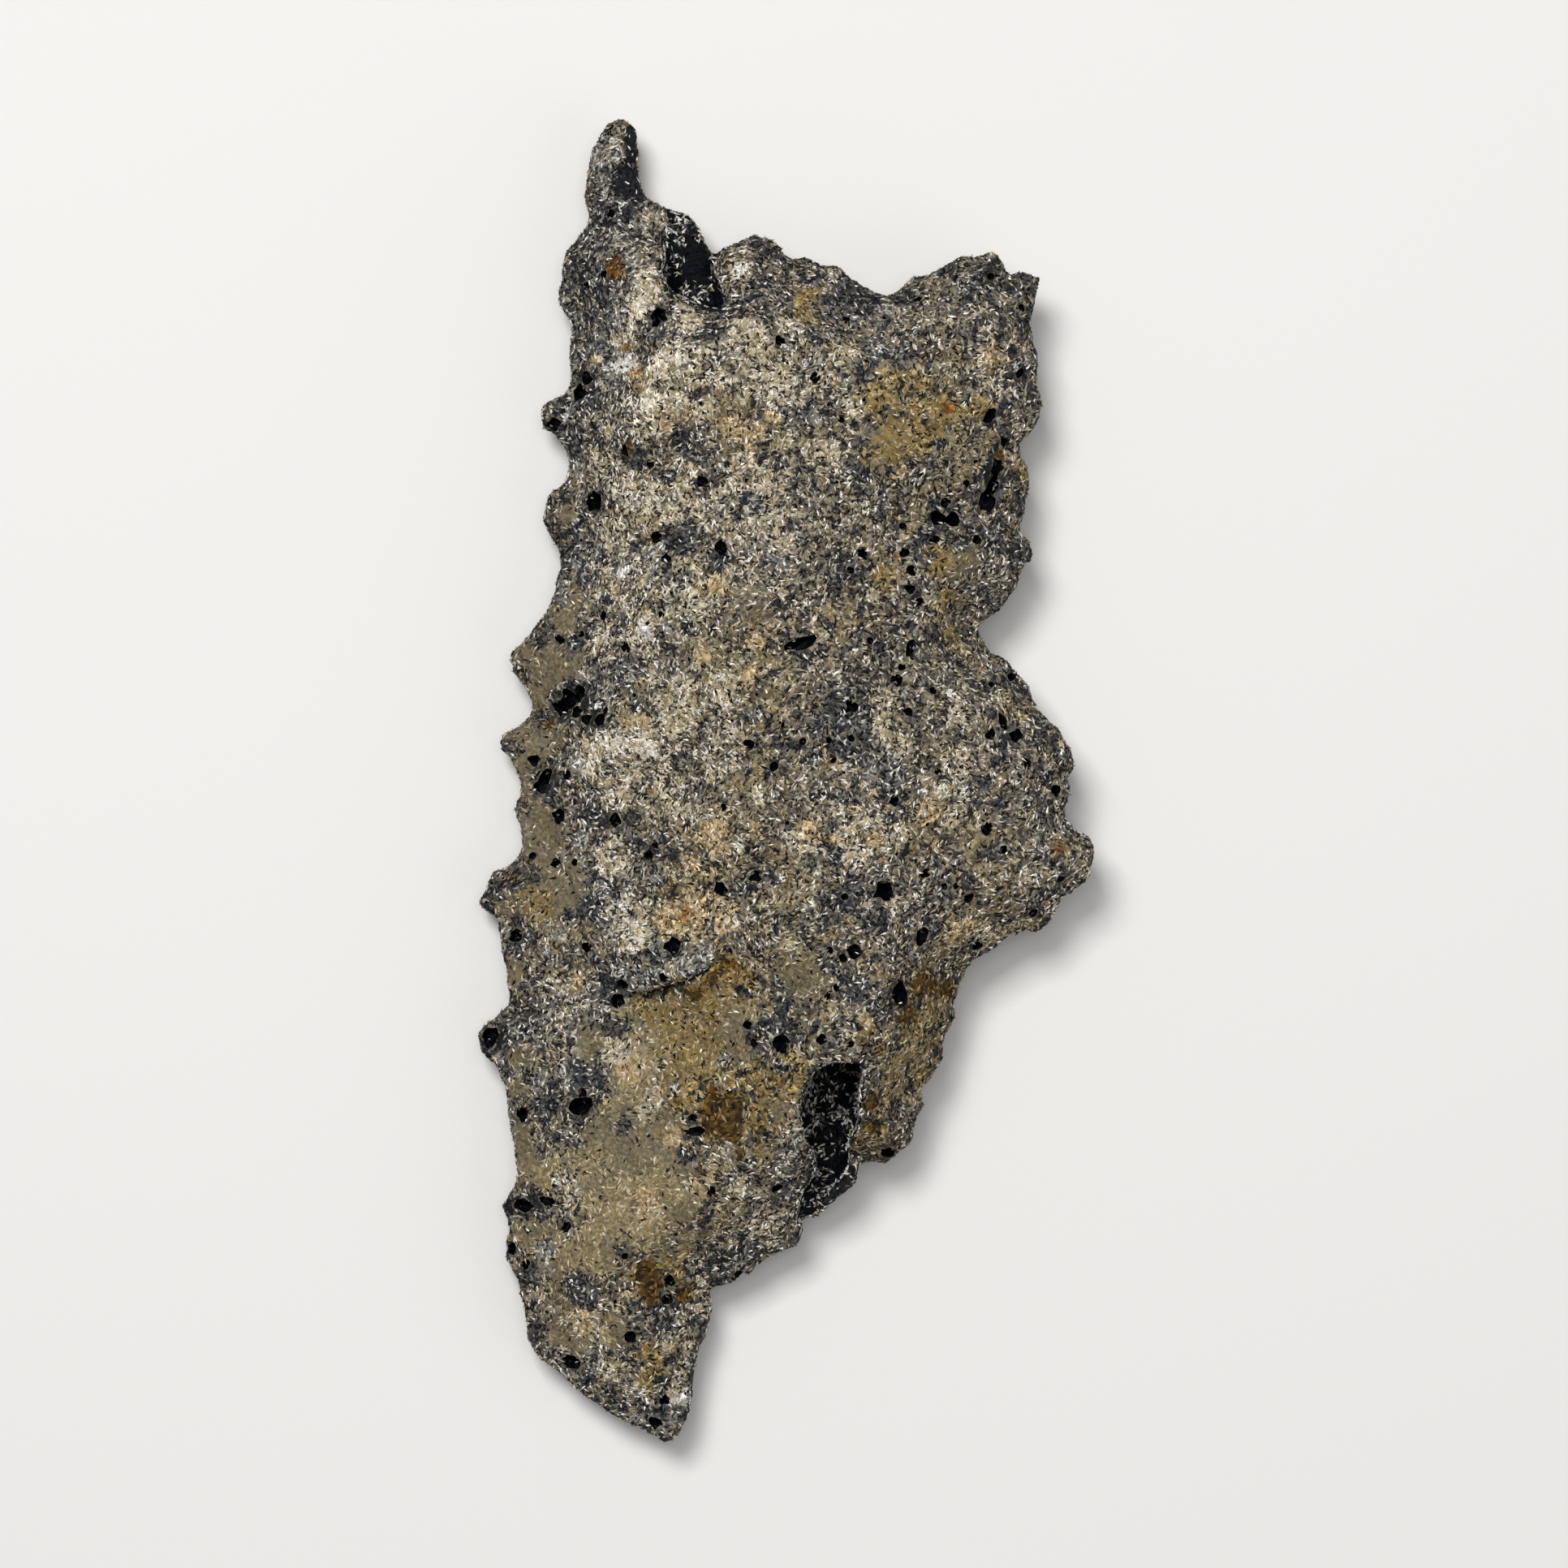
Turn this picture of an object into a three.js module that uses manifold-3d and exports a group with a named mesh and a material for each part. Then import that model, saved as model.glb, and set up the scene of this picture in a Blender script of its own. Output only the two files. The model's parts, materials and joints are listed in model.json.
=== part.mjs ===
// Fulgurite: sand fused by lightning into one knobbly, hollow piece, lying on its back.
// Millimetres, +Y along its length, +Z up off the bench, origin under the middle of the piece.
import * as THREE from 'three';
import { mergeVertices } from 'three/addons/utils/BufferGeometryUtils.js';
import Module from 'manifold-3d';

const wasm = await Module();
wasm.setup();

// Driving dimensions.
const reliefPitch = 1.45;          // spacing of the relief points on both faces
const reliefJitter = 0.28;         // how far a relief point strays, as a share of the pitch
const stagger = 0.25;              // shift of every other row of them, as a share of the pitch
const leftRim = 3.3;               // height of the front edge along the thin left margin
const rightRim = 6.0;              // and along the raised right wing
const rimThickness = 1.7;
const leftRounding = 8;            // how far in from the edge the face keeps climbing
const rightRounding = 3.8;
const faceRise = 3.3;              // climb from the rim to the broad face
const tubeRise = 4.8;              // extra height of the swollen tube around the bore
const tubeSpread = 8;
const tubeTaper = 0.4;             // share of that height lost at either end
const backClearance = 1.2;         // mean height of the underside off the bench
const footDepth = 2.1;             // how far the lumps that it rests on stand out of the underside
const footSpread = 3;
const boreRadius = 1.85;
const topFloor = 4.9;              // how far down the front wall over the bore is broken away
const troughFloor = 4.3;
const roundPit = 0.48;             // pits at least this wide are cut round, smaller ones angular
const above = 20;                  // clear of the highest point

// The outline, anticlockwise from the notch at the top, in stretches between landmarks.
const horn = [
  [-8.8, 36.0], [-9.0, 37.1], [-9.1, 38.2], [-9.2, 39.4], [-9.3, 40.4], [-10.0, 40.9],
  [-10.9, 40.6], [-11.4, 39.9], [-11.8, 39.0], [-12.0, 38.0], [-12.2, 36.9], [-12.3, 36.0],
  [-12.1, 35.2],
];
const leftShoulder = [
  [-12.0, 34.7], [-12.4, 33.9], [-12.9, 33.2], [-13.5, 32.5], [-13.6, 31.8], [-13.6, 30.9],
  [-14.0, 29.8], [-13.7, 29.0], [-13.2, 28.4], [-13.2, 27.0], [-13.2, 25.4], [-13.2, 24.1],
];
const leftKnobs = [
  [-14.1, 23.6], [-14.8, 23.2], [-15.0, 22.5], [-14.9, 21.7], [-14.2, 21.6], [-14.0, 21.0],
  [-13.5, 20.5], [-13.3, 19.4], [-13.5, 18.4], [-14.4, 17.8], [-14.8, 16.9], [-14.9, 16.0],
  [-14.4, 15.0], [-13.8, 14.1], [-13.7, 13.2], [-14.1, 11.9], [-14.5, 10.6], [-15.2, 9.5],
  [-16.1, 8.5], [-16.9, 7.8], [-16.8, 6.8], [-16.0, 5.7], [-15.5, 4.6], [-15.6, 3.7],
  [-16.6, 3.3], [-17.5, 2.7], [-17.7, 2.0], [-16.9, 1.3], [-16.5, 0.3], [-16.3, -1.0],
  [-16.8, -1.8], [-16.4, -2.6], [-16.2, -3.7], [-16.4, -4.7], [-17.2, -5.4], [-18.2, -6.0],
  [-18.4, -7.0], [-18.9, -7.6], [-18.4, -8.1], [-17.7, -8.5],
];
const lowerLeft = [
  [-17.5, -9.7], [-17.4, -11.0], [-17.1, -12.2], [-16.9, -13.9], [-17.8, -14.8], [-18.7, -15.3],
  [-18.9, -16.2], [-18.5, -17.1], [-17.6, -17.7], [-17.2, -19.2], [-17.0, -21.1],
  [-16.6, -22.6], [-16.4, -24.7], [-16.9, -25.7], [-17.4, -26.4], [-17.1, -27.1],
  [-16.8, -27.8], [-17.2, -28.6], [-17.2, -29.6], [-16.4, -31.0], [-16.2, -32.0],
  [-15.9, -33.5], [-15.8, -34.7], [-15.1, -35.6],
];
const toe = [
  [-14.2, -36.4], [-13.8, -36.9], [-12.2, -38.2], [-10.8, -39.0], [-9.2, -39.9], [-8.1, -40.5],
  [-7.2, -40.9], [-6.6, -40.5], [-6.1, -39.1], [-5.8, -37.7], [-5.6, -36.4], [-5.2, -35.0],
  [-4.7, -33.4], [-4.6, -32.2], [-4.8, -31.5],
];
const lowerRight = [
  [-4.2, -31.2], [-3.1, -31.0], [-2.0, -30.4], [-1.6, -29.6], [-0.4, -29.3], [0.8, -28.6],
  [1.0, -27.7], [0.8, -26.8], [1.8, -27.0], [2.7, -26.1], [3.5, -25.5], [4.4, -24.8],
  [4.5, -23.4], [5.4, -23.4], [6.2, -23.5], [6.8, -22.9], [7.6, -22.4], [7.8, -21.2],
  [8.6, -20.0], [8.1, -19.1], [9.0, -18.2], [9.6, -17.1], [9.8, -15.7], [10.4, -14.7],
  [10.3, -13.8], [10.8, -12.6], [11.2, -11.5], [11.9, -10.8], [12.9, -10.4], [13.4, -9.7],
  [14.1, -9.3], [15.5, -9.3], [16.3, -8.6], [16.7, -7.4],
];
const rightWing = [
  [17.7, -6.8], [18.6, -6.0], [18.9, -4.6], [18.7, -3.6], [17.8, -3.2], [17.1, -2.1],
  [17.4, -1.0], [17.3, 0.2], [17.8, 0.9], [17.4, 1.9], [16.8, 2.9], [15.9, 3.6], [15.2, 4.7],
  [15.0, 5.6], [14.2, 6.6], [13.5, 7.4], [12.4, 7.7], [12.1, 8.7], [11.6, 9.2], [12.3, 9.9],
  [13.3, 10.6], [13.7, 11.3], [14.2, 12.0], [14.4, 12.9], [15.2, 13.5], [15.0, 14.5],
  [14.2, 15.2], [14.6, 16.5], [14.9, 17.9], [15.0, 19.1], [14.4, 19.9], [14.2, 20.8],
];
const topEdge = [
  [14.9, 21.1], [15.5, 22.0], [15.7, 23.2], [15.4, 24.5], [15.6, 26.0], [15.2, 27.3],
  [15.0, 28.1], [15.3, 29.5], [15.6, 30.7], [14.7, 31.1], [13.7, 30.9], [13.3, 31.8],
  [12.9, 32.3], [11.8, 32.1], [10.8, 32.2], [9.9, 31.6], [9.1, 31.0], [7.8, 30.9], [7.2, 30.1],
  [6.3, 29.7], [5.4, 30.0], [4.2, 30.5], [3.4, 31.3], [2.1, 31.6], [1.2, 32.1], [0.2, 32.0],
  [-0.5, 33.1], [-1.9, 33.6], [-3.0, 33.0], [-3.9, 32.8], [-4.5, 32.1], [-4.9, 33.0],
  [-5.3, 34.0], [-5.9, 34.9], [-7.2, 35.2], [-8.2, 35.6],
];
const outline = [
  ...horn, ...leftShoulder, ...leftKnobs, ...lowerLeft, ...toe, ...lowerRight, ...rightWing, ...topEdge,
].map(([x, y]) => new THREE.Vector2(x, y));

// The bore left by the strike, from its mouth beside the horn to the broken trough low on the right.
const borePath = [
  [-7.6, 40.0, 6.4], [-6.3, 33.6, 5.7], [-4.6, 26, 5.5], [-1.6, 8, 5.4],
  [2.0, -7, 5.3], [3.6, -16, 5.0], [2.8, -21, 4.8], [2.0, -24, 4.7],
].map((point) => new THREE.Vector3(...point));

// Windows where the front wall over the bore is missing.
const topWindow = [
  [-8.6, 37.5], [-7.9, 35.4], [-7.3, 34.6], [-7.1, 33.4], [-7.3, 32.2], [-7.6, 31.0], [-7.2, 30.0],
  [-6.3, 29.4], [-5.4, 29.0], [-4.1, 28.6], [-3.6, 28.8], [-3.6, 29.8], [-4.1, 30.5],
  [-4.6, 31.3], [-4.4, 32.3], [-4.4, 36.5],
];
const trough = [
  [2.3, -17.3], [3.0, -17.0], [4.5, -17.2], [4.8, -17.7], [4.6, -18.6], [4.5, -19.6], [4.6, -21.0],
  [4.1, -21.8], [3.9, -22.5], [3.9, -23.4], [3.7, -24.3], [3.0, -25.0], [2.1, -26.1], [1.6, -27.3],
  [0.6, -27.3], [0.8, -26.5], [0.9, -25.6], [1.5, -24.6], [1.9, -23.9], [1.8, -23.0], [1.2, -22.0],
  [0.95, -20.8], [0.9, -19.6], [1.1, -18.6], [1.6, -17.9],
];

// Lumps and hollows of the front face: centre, half sizes and how far they stand out.
const swellings = [
  { at: [-11.3, 31.5], half: [1.8, 1.8], rise: 1.1 },
  { at: [-7.6, 24.5], half: [3.2, 2.6], rise: 0.9 },
  { at: [-6.6, 27.3], half: [2.2, 1.4], rise: 0.8 },
  { at: [-1.8, 32], half: [1.8, 1.4], rise: 0.9 },
  { at: [-1.8, 27.2], half: [2.2, 1.6], rise: 0.7 },
  { at: [-10.8, 2.4], half: [2.6, 1.3], rise: 1.0 },
  { at: [-7.2, 4.0], half: [2.2, 1.2], rise: 0.9 },
  { at: [-4.3, -3.5], half: [2.2, 1.8], rise: 0.6 },
  { at: [4.6, -2.4], half: [2.2, 1.8], rise: 0.7 },
  { at: [10.4, 5.3], half: [2.0, 1.6], rise: 0.8 },
  { at: [12.2, 27.4], half: [2.4, 1.8], rise: 0.8 },
  { at: [15.6, -5.2], half: [1.8, 1.4], rise: 0.6 },
  { at: [-12.3, -31.2], half: [1.4, 1.4], rise: 0.7 },
  { at: [-6.8, -38.2], half: [1.2, 1.6], rise: 0.6 },
  { at: [-9.4, -9.6], half: [2.6, 1.8], rise: 0.9 },
  { at: [-6.6, 21], half: [1.8, 1.6], rise: -0.8 },
  { at: [-6.8, 14.5], half: [2.2, 1.8], rise: -0.7 },
  { at: [-13, 24.4], half: [1.4, 1.4], rise: -0.6 },
  { at: [-1.4, -6.2], half: [2.0, 1.6], rise: -0.6 },
  { at: [9.2, 16.2], half: [1.8, 1.8], rise: -0.6 },
  { at: [13.6, 2.6], half: [1.6, 1.2], rise: -0.6 },
  { at: [-10.3, -12.6], half: [2.2, 1.4], rise: -0.8 },
  { at: [-7.3, -31], half: [2.4, 1.6], rise: -0.6 },
];

// The slab of crust that ends in a ledge over the lower left, and the drop to the thin left flange.
const ledge = { left: -11.6, right: -3.2, top: -8, bottom: -12.8, rise: 1.5 };
const flange = { right: -13.9, top: 6.2, bottom: -5, drop: 3.4 };

// Lumps of the underside that it rests on, each worn to a small flat.
const feet = [[5, 25], [6, -17], [13.2, -3.5], [-13.6, -9], [-9.8, 20], [-9, -33.4]];

// Gas pits in the face: x, y, half width, half height and turn in degrees.
const pits = [
  [-7.6, 28.1, 0.5, 0.5, 0], [-12.5, 23.8, 0.45, 0.45, 0], [-11.6, 17.0, 0.55, 0.5, 20],
  [9.3, 15.9, 0.4, 0.45, 0], [10.3, 15.9, 0.4, 0.4, 0], [-3.8, 14.0, 0.38, 0.38, 0],
  [0.9, 8.2, 1.0, 0.36, 25], [-13.3, 4.9, 1.05, 0.55, 30], [-11.6, 3.6, 0.4, 0.4, 0],
  [4.0, 4.4, 0.36, 0.36, 0], [14.1, 2.7, 0.36, 0.36, 0], [-10.4, -2.5, 0.42, 0.42, 0],
  [-3.9, -6.6, 0.4, 0.45, 0], [6.0, -6.8, 0.55, 0.5, 0], [-6.8, -10.1, 0.45, 0.4, 0],
  [8.3, -9.5, 0.36, 0.6, 0], [4.2, -10.4, 0.36, 0.36, 0], [-9.9, -12.6, 0.36, 0.36, 0],
  [-18.1, -15.8, 0.45, 0.45, 0], [-0.3, -16.0, 0.5, 0.42, 0], [-12.5, -20.0, 0.65, 0.6, 0],
  [-16.2, -20.7, 0.32, 0.5, 0], [-5.4, -21.4, 0.8, 0.28, 10], [6.3, -22.9, 0.42, 0.42, 0],
  [-16.1, -26.3, 0.5, 0.34, 0], [-7.1, -30.8, 0.36, 0.36, 0], [-2.8, -30.6, 0.45, 0.4, 0],
  [-13.0, -35.9, 0.45, 0.4, 0], [-14.3, 21.9, 0.4, 0.35, 0], [-14.8, -0.2, 0.5, 0.85, -25],
  [-15.5, 1.15, 0.28, 0.32, 0], [-13.9, -2.2, 0.4, 0.4, 0], [12.8, 17.9, 0.46, 1.45, -22],
  [12.5, 22.2, 0.26, 0.5, -30],
];

// Repeatable value noise between -1 and 1.
function lattice(i, j) {
  const wave = Math.sin(i * 127.1 + j * 311.7) * 43758.5453;
  return 2 * (wave - Math.floor(wave)) - 1;
}

function roughness(x, y, size) {
  const i = Math.floor(x / size);
  const j = Math.floor(y / size);
  const u = THREE.MathUtils.smoothstep(x / size - i, 0, 1);
  const v = THREE.MathUtils.smoothstep(y / size - j, 0, 1);
  const near = THREE.MathUtils.lerp(lattice(i, j), lattice(i + 1, j), u);
  const far = THREE.MathUtils.lerp(lattice(i, j + 1), lattice(i + 1, j + 1), u);
  return THREE.MathUtils.lerp(near, far, v);
}

// The straight runs of a path seen from above, and how far a point lies from the nearest of them.
function runsOf(path) {
  return path.slice(1).map((end, k) => new THREE.Line3(
    new THREE.Vector3(path[k].x, path[k].y, 0),
    new THREE.Vector3(end.x, end.y, 0),
  ));
}

const edgeRuns = runsOf([...outline, outline[0]]);
const boreRuns = runsOf(borePath);

function distanceTo(runs, x, y) {
  const point = new THREE.Vector3(x, y, 0);
  const closest = new THREE.Vector3();
  return Math.min(...runs.map((run) => run.closestPointToPoint(point, true, closest).distanceTo(point)));
}

function insideOutline(x, y) {
  let inside = false;
  outline.forEach((corner, k) => {
    const before = outline[(k + outline.length - 1) % outline.length];
    const crosses = corner.y > y !== before.y > y;
    if (crosses && x < corner.x + ((before.x - corner.x) * (y - corner.y)) / (before.y - corner.y)) {
      inside = !inside;
    }
  });
  return inside;
}

// How far a point of the face has climbed from the edge (0) to the broad face (1).
function roundingAt(x, y) {
  if (!insideOutline(x, y)) {
    return 0;
  }
  const reach = THREE.MathUtils.mapLinear(x, -17, 17, leftRounding, rightRounding);
  return Math.sin((Math.PI / 2) * Math.min(distanceTo(edgeRuns, x, y) / reach, 1));
}

function bump(x, y, { at, half, rise }) {
  return rise * Math.exp(-(((x - at[0]) / half[0]) ** 2) - ((y - at[1]) / half[1]) ** 2);
}

function rimAt(x) {
  return THREE.MathUtils.mapLinear(x, -17, 17, leftRim, rightRim);
}

function frontHeight(x, y) {
  const rounding = roundingAt(x, y);
  const { smoothstep } = THREE.MathUtils;
  const tube = Math.exp(-((distanceTo(boreRuns, x, y) / tubeSpread) ** 2)) * (1 - tubeTaper * (y / 30) ** 2);
  const crust = smoothstep(x, ledge.left, ledge.left + 2.5) * smoothstep(-x, -ledge.right, 2.5 - ledge.right)
    * smoothstep(y, ledge.bottom - 0.4, ledge.bottom + 0.4) * smoothstep(-y, -ledge.top, 3 - ledge.top);
  const shelf = smoothstep(-x, -flange.right - 0.4, 0.4 - flange.right)
    * smoothstep(y, flange.bottom, flange.bottom + 1.5) * smoothstep(-y, -flange.top, 1.5 - flange.top);
  let height = rimAt(x) + rounding * (faceRise + tubeRise * tube);
  height += rounding * swellings.reduce((sum, lump) => sum + bump(x, y, lump), 0);
  height += (0.35 + 0.65 * rounding) * (0.7 * roughness(x, y, 4.3) + 0.45 * roughness(x, y, 2.1));
  height += ledge.rise * crust;
  return height - flange.drop * shelf * rounding;
}

function backHeight(x, y) {
  const rounding = roundingAt(x, y);
  const rim = rimAt(x) - rimThickness * (1 + 0.35 * roughness(x, y, 5.2));
  const grain = (0.2 + 0.5 * rounding) * roughness(x + 50, y + 50, 3.4);
  const underside = Math.max(THREE.MathUtils.lerp(rim, backClearance, rounding) + grain, 0.45);
  return feet.reduce((height, [footX, footY]) => {
    const reach = Math.hypot(x - footX, y - footY) / footSpread;
    return height - footDepth * Math.exp(-(reach ** 2));
  }, underside);
}

function toSolid(geometry) {
  geometry.deleteAttribute('normal');
  geometry.deleteAttribute('uv');
  const merged = mergeVertices(geometry);
  return new wasm.Manifold(new wasm.Mesh({
    numProp: 3,
    vertProperties: new Float32Array(merged.attributes.position.array),
    triVerts: new Uint32Array(merged.index.array),
  }));
}

function toGeometry(solid) {
  const { vertProperties, triVerts } = solid.getMesh();
  const geometry = new THREE.BufferGeometry();
  geometry.setAttribute('position', new THREE.BufferAttribute(vertProperties, 3));
  geometry.setIndex(new THREE.BufferAttribute(triVerts, 1));
  geometry.computeVertexNormals();
  return geometry;
}

// A slab with its two faces pushed into relief, its points in staggered, jittered rows.
function makeRelief() {
  const columns = Math.ceil(42 / reliefPitch);
  const rows = Math.ceil(87 / reliefPitch);
  const slab = new THREE.BoxGeometry(columns * reliefPitch, rows * reliefPitch, 2, columns, rows, 1);
  const place = slab.attributes.position;
  for (let k = 0; k < place.count; k += 1) {
    const column = Math.round(place.getX(k) / reliefPitch + columns / 2);
    const row = Math.round(place.getY(k) / reliefPitch + rows / 2);
    const shift = row % 2 === 0 ? stagger : -stagger;
    const x = place.getX(k) + reliefPitch * (shift + reliefJitter * lattice(column, row));
    const y = place.getY(k) + reliefPitch * reliefJitter * lattice(column + 99, row);
    place.setXYZ(k, x, y, place.getZ(k) > 0 ? frontHeight(x, y) : backHeight(x, y));
  }
  return toSolid(slab);
}

function makeOutlinePrism() {
  const shape = new THREE.Shape(outline);
  return toSolid(new THREE.ExtrudeGeometry(shape, { depth: above, bevelEnabled: false }));
}

function makeBore() {
  const section = new THREE.Shape().absarc(0, 0, boreRadius, 0, 2 * Math.PI);
  return toSolid(new THREE.ExtrudeGeometry(section, {
    extrudePath: new THREE.CatmullRomCurve3(borePath),
    steps: 26,
    curveSegments: 5,
  }));
}

function makeWindow(points, floor) {
  const shape = new THREE.Shape(points.map(([x, y]) => new THREE.Vector2(x, y)));
  const cutter = new THREE.ExtrudeGeometry(shape, { depth: above, bevelEnabled: false });
  return toSolid(cutter.translate(0, 0, floor));
}

function makePit([x, y, halfWidth, halfHeight, turn]) {
  const depth = Math.min(1.7 * halfHeight, 0.4 * (frontHeight(x, y) - backHeight(x, y)));
  const cutter = new THREE.IcosahedronGeometry(1, halfWidth < roundPit ? 0 : 1);
  cutter.scale(halfWidth, halfHeight, depth);
  cutter.rotateZ(THREE.MathUtils.degToRad(turn));
  return toSolid(cutter.translate(x, y, frontHeight(x, y)));
}

function makeFulgurite() {
  let solid = makeRelief().intersect(makeOutlinePrism()).subtract(makeBore());
  solid = solid.subtract(makeWindow(topWindow, topFloor)).subtract(makeWindow(trough, troughFloor));
  pits.forEach((pit) => {
    solid = solid.subtract(makePit(pit));
  });
  return solid;
}

const fusedSand = new THREE.MeshStandardMaterial({ color: 0x6c6557, roughness: 0.85, metalness: 0 });
const fulgurite = new THREE.Mesh(toGeometry(makeFulgurite()), fusedSand);
fulgurite.name = 'fulgurite';

const group = new THREE.Group();
group.add(fulgurite);

export default group;
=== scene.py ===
import math
import random

import bmesh
import bpy
import numpy as np
from mathutils import Matrix, Vector, noise
from mathutils.bvhtree import BVHTree
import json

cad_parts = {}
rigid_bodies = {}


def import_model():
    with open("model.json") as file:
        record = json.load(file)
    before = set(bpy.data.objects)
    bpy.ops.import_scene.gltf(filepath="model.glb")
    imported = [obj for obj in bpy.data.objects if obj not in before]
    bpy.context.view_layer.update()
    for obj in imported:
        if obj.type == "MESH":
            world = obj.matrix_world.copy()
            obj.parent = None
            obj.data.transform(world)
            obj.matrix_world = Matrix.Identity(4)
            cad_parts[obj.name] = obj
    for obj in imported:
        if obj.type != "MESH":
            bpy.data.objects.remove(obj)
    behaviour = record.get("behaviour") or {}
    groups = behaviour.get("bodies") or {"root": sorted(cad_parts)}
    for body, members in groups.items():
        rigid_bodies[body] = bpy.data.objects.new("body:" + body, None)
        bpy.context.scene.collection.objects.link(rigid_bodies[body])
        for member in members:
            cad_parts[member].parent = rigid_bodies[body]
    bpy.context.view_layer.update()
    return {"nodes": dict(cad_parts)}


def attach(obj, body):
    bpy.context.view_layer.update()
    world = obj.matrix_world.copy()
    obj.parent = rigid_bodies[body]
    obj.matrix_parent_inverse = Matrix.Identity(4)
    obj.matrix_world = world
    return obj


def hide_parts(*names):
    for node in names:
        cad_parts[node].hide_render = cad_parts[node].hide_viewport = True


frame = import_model()
scene = bpy.context.scene
solid = frame["nodes"]["fulgurite"]
mm = 0.001
print("frame loaded")


# helpers for meshes

def meshOf(form, name):
    mesh = bpy.data.meshes.new(name)
    form.to_mesh(mesh)
    form.free()
    return mesh


def showPiece(name, mesh):
    piece = bpy.data.objects.new(name, mesh)
    scene.collection.objects.link(piece)
    return piece


def applyModifiers(piece):
    shaped = piece.evaluated_get(bpy.context.evaluated_depsgraph_get())
    mesh = bpy.data.meshes.new_from_object(shaped)
    piece.modifiers.clear()
    piece.data = mesh


def readVectors(items, what):
    values = np.empty(len(items) * 3)
    items.foreach_get(what, values)
    return values.reshape(-1, 3)


def writeMask(mesh, name, values):
    mask = mesh.attributes.new(name, "FLOAT", "POINT")
    mask.data.foreach_set("value", values.astype(np.float32))


def smoothStep(values, low, high):
    share = np.clip((values - low) / (high - low), 0, 1)
    return share * share * (3 - 2 * share)


def cloudNoise(places, size, shift):  # -1 to 1, rolling over the given size; shift picks the cloud
    start = Vector((shift, shift * 0.7, -shift))
    return np.array([noise.noise(Vector(place) / size + start) for place in places])


def cellNoise(places, size):  # distance to the nearest cell centre, in cells
    return np.array([noise.voronoi(Vector(place) / size)[0][0] for place in places])


# helpers for node trees

def fillSockets(tree, sockets, values):  # a value is another node's socket or a constant
    for name, value in values.items():
        if isinstance(value, bpy.types.NodeSocket):
            tree.links.new(value, sockets[name])
        else:
            sockets[name].default_value = value


def addNode(tree, kind, values=None, **settings):
    node = tree.nodes.new(kind)
    for name, value in settings.items():
        setattr(node, name, value)
    fillSockets(tree, node.inputs, values or {})
    return node


def reckon(tree, operation, values, kind="ShaderNodeMath"):
    return addNode(tree, kind, values, operation=operation).outputs[0]


def mapRange(tree, value, limits):
    return addNode(tree, "ShaderNodeMapRange", {"Value": value, **limits}).outputs["Result"]


def newGroup(name, kind, inputs, outputs):
    tree = bpy.data.node_groups.new(name, kind)
    for way, sockets in (("INPUT", inputs), ("OUTPUT", outputs)):
        for label, socket in sockets.items():
            tree.interface.new_socket(label, in_out=way, socket_type="NodeSocket" + socket)
    return tree, tree.nodes.new("NodeGroupInput").outputs, tree.nodes.new("NodeGroupOutput").inputs


def newMaterial(name):
    material = bpy.data.materials.new(name)
    material.use_nodes = True
    return material, material.node_tree, material.node_tree.nodes["Principled BSDF"].inputs


def rampOf(tree, value, stops):
    node = addNode(tree, "ShaderNodeValToRGB", {"Fac": value})
    ramp = node.color_ramp
    while len(ramp.elements) > 1:
        ramp.elements.remove(ramp.elements[-1])
    ramp.elements[0].position, ramp.elements[0].color = stops[0][0], (*stops[0][1], 1)
    for position, colour in stops[1:]:
        ramp.elements.new(position).color = (*colour, 1)
    return node.outputs["Color"]


# camera: straight down on the piece, as it lies

lens = {
    "focal": 150,                   # mm of lens on a 36 mm sensor
    "frameWidth": 96.6 * mm,        # what the square frame spans at the height of the rim
    "rimHeight": 4.5 * mm,
    "offCentre": (-0.05 * mm, -0.28 * mm),
    "nearest": 10 * mm,
}


def aimCamera():
    camera = bpy.data.objects.new("camera", bpy.data.cameras.new("camera"))
    camera.data.lens = lens["focal"]
    distance = lens["frameWidth"] * lens["focal"] / camera.data.sensor_width
    camera.location = (*lens["offCentre"], lens["rimHeight"] + distance)
    camera.data.clip_start = lens["nearest"]
    scene.collection.objects.link(camera)
    scene.camera = camera


# the crust: the fused body of the piece

crust = {
    "name": "fusedSandCrust",
    "weld": 0.002 * mm,
    "voxel": 0.31 * mm,
    "levelPasses": 14,              # softens the heights alone, so that the outline stays sharp
    "roundPasses": 2,
    "frontSpan": (-0.2, 0.3),       # upward share of the normal, from the back to the front
    "lumpSize": 3.0 * mm,
    "lumpCloud": 3,
    "lumpRise": 0.30 * mm,
    "knobSize": 1.3 * mm,
    "knobRise": 0.46 * mm,
    "knobMiddle": 0.45,             # distance from a knob's centre, in cells, where it starts to sink
    "knobStray": 0.25,              # how far the knobs are drawn out of shape, in their size
    "straySize": 0.9 * mm,
    "strayClouds": (11, 12, 13),    # along x, y and z
    "toothSize": 0.55 * mm,
    "toothRise": 0.10 * mm,
    "toothMiddle": 0.5,
    "edgeCalm": 0.5,                # share of the relief that the rim does without
    "liningCalm": 0.6,              # and the glass lining
    "restHeight": 0.25 * mm,        # the flats it rests on stay bare below this
    "cover": 1.0,
    "underCover": 0.4,              # share of it on the back
    "tint": (0.122, 0.106, 0.074),
    "share": (0.17, 0.14, 0.20, 0.17, 0.14, 0.17, 0.01),
}

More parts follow.
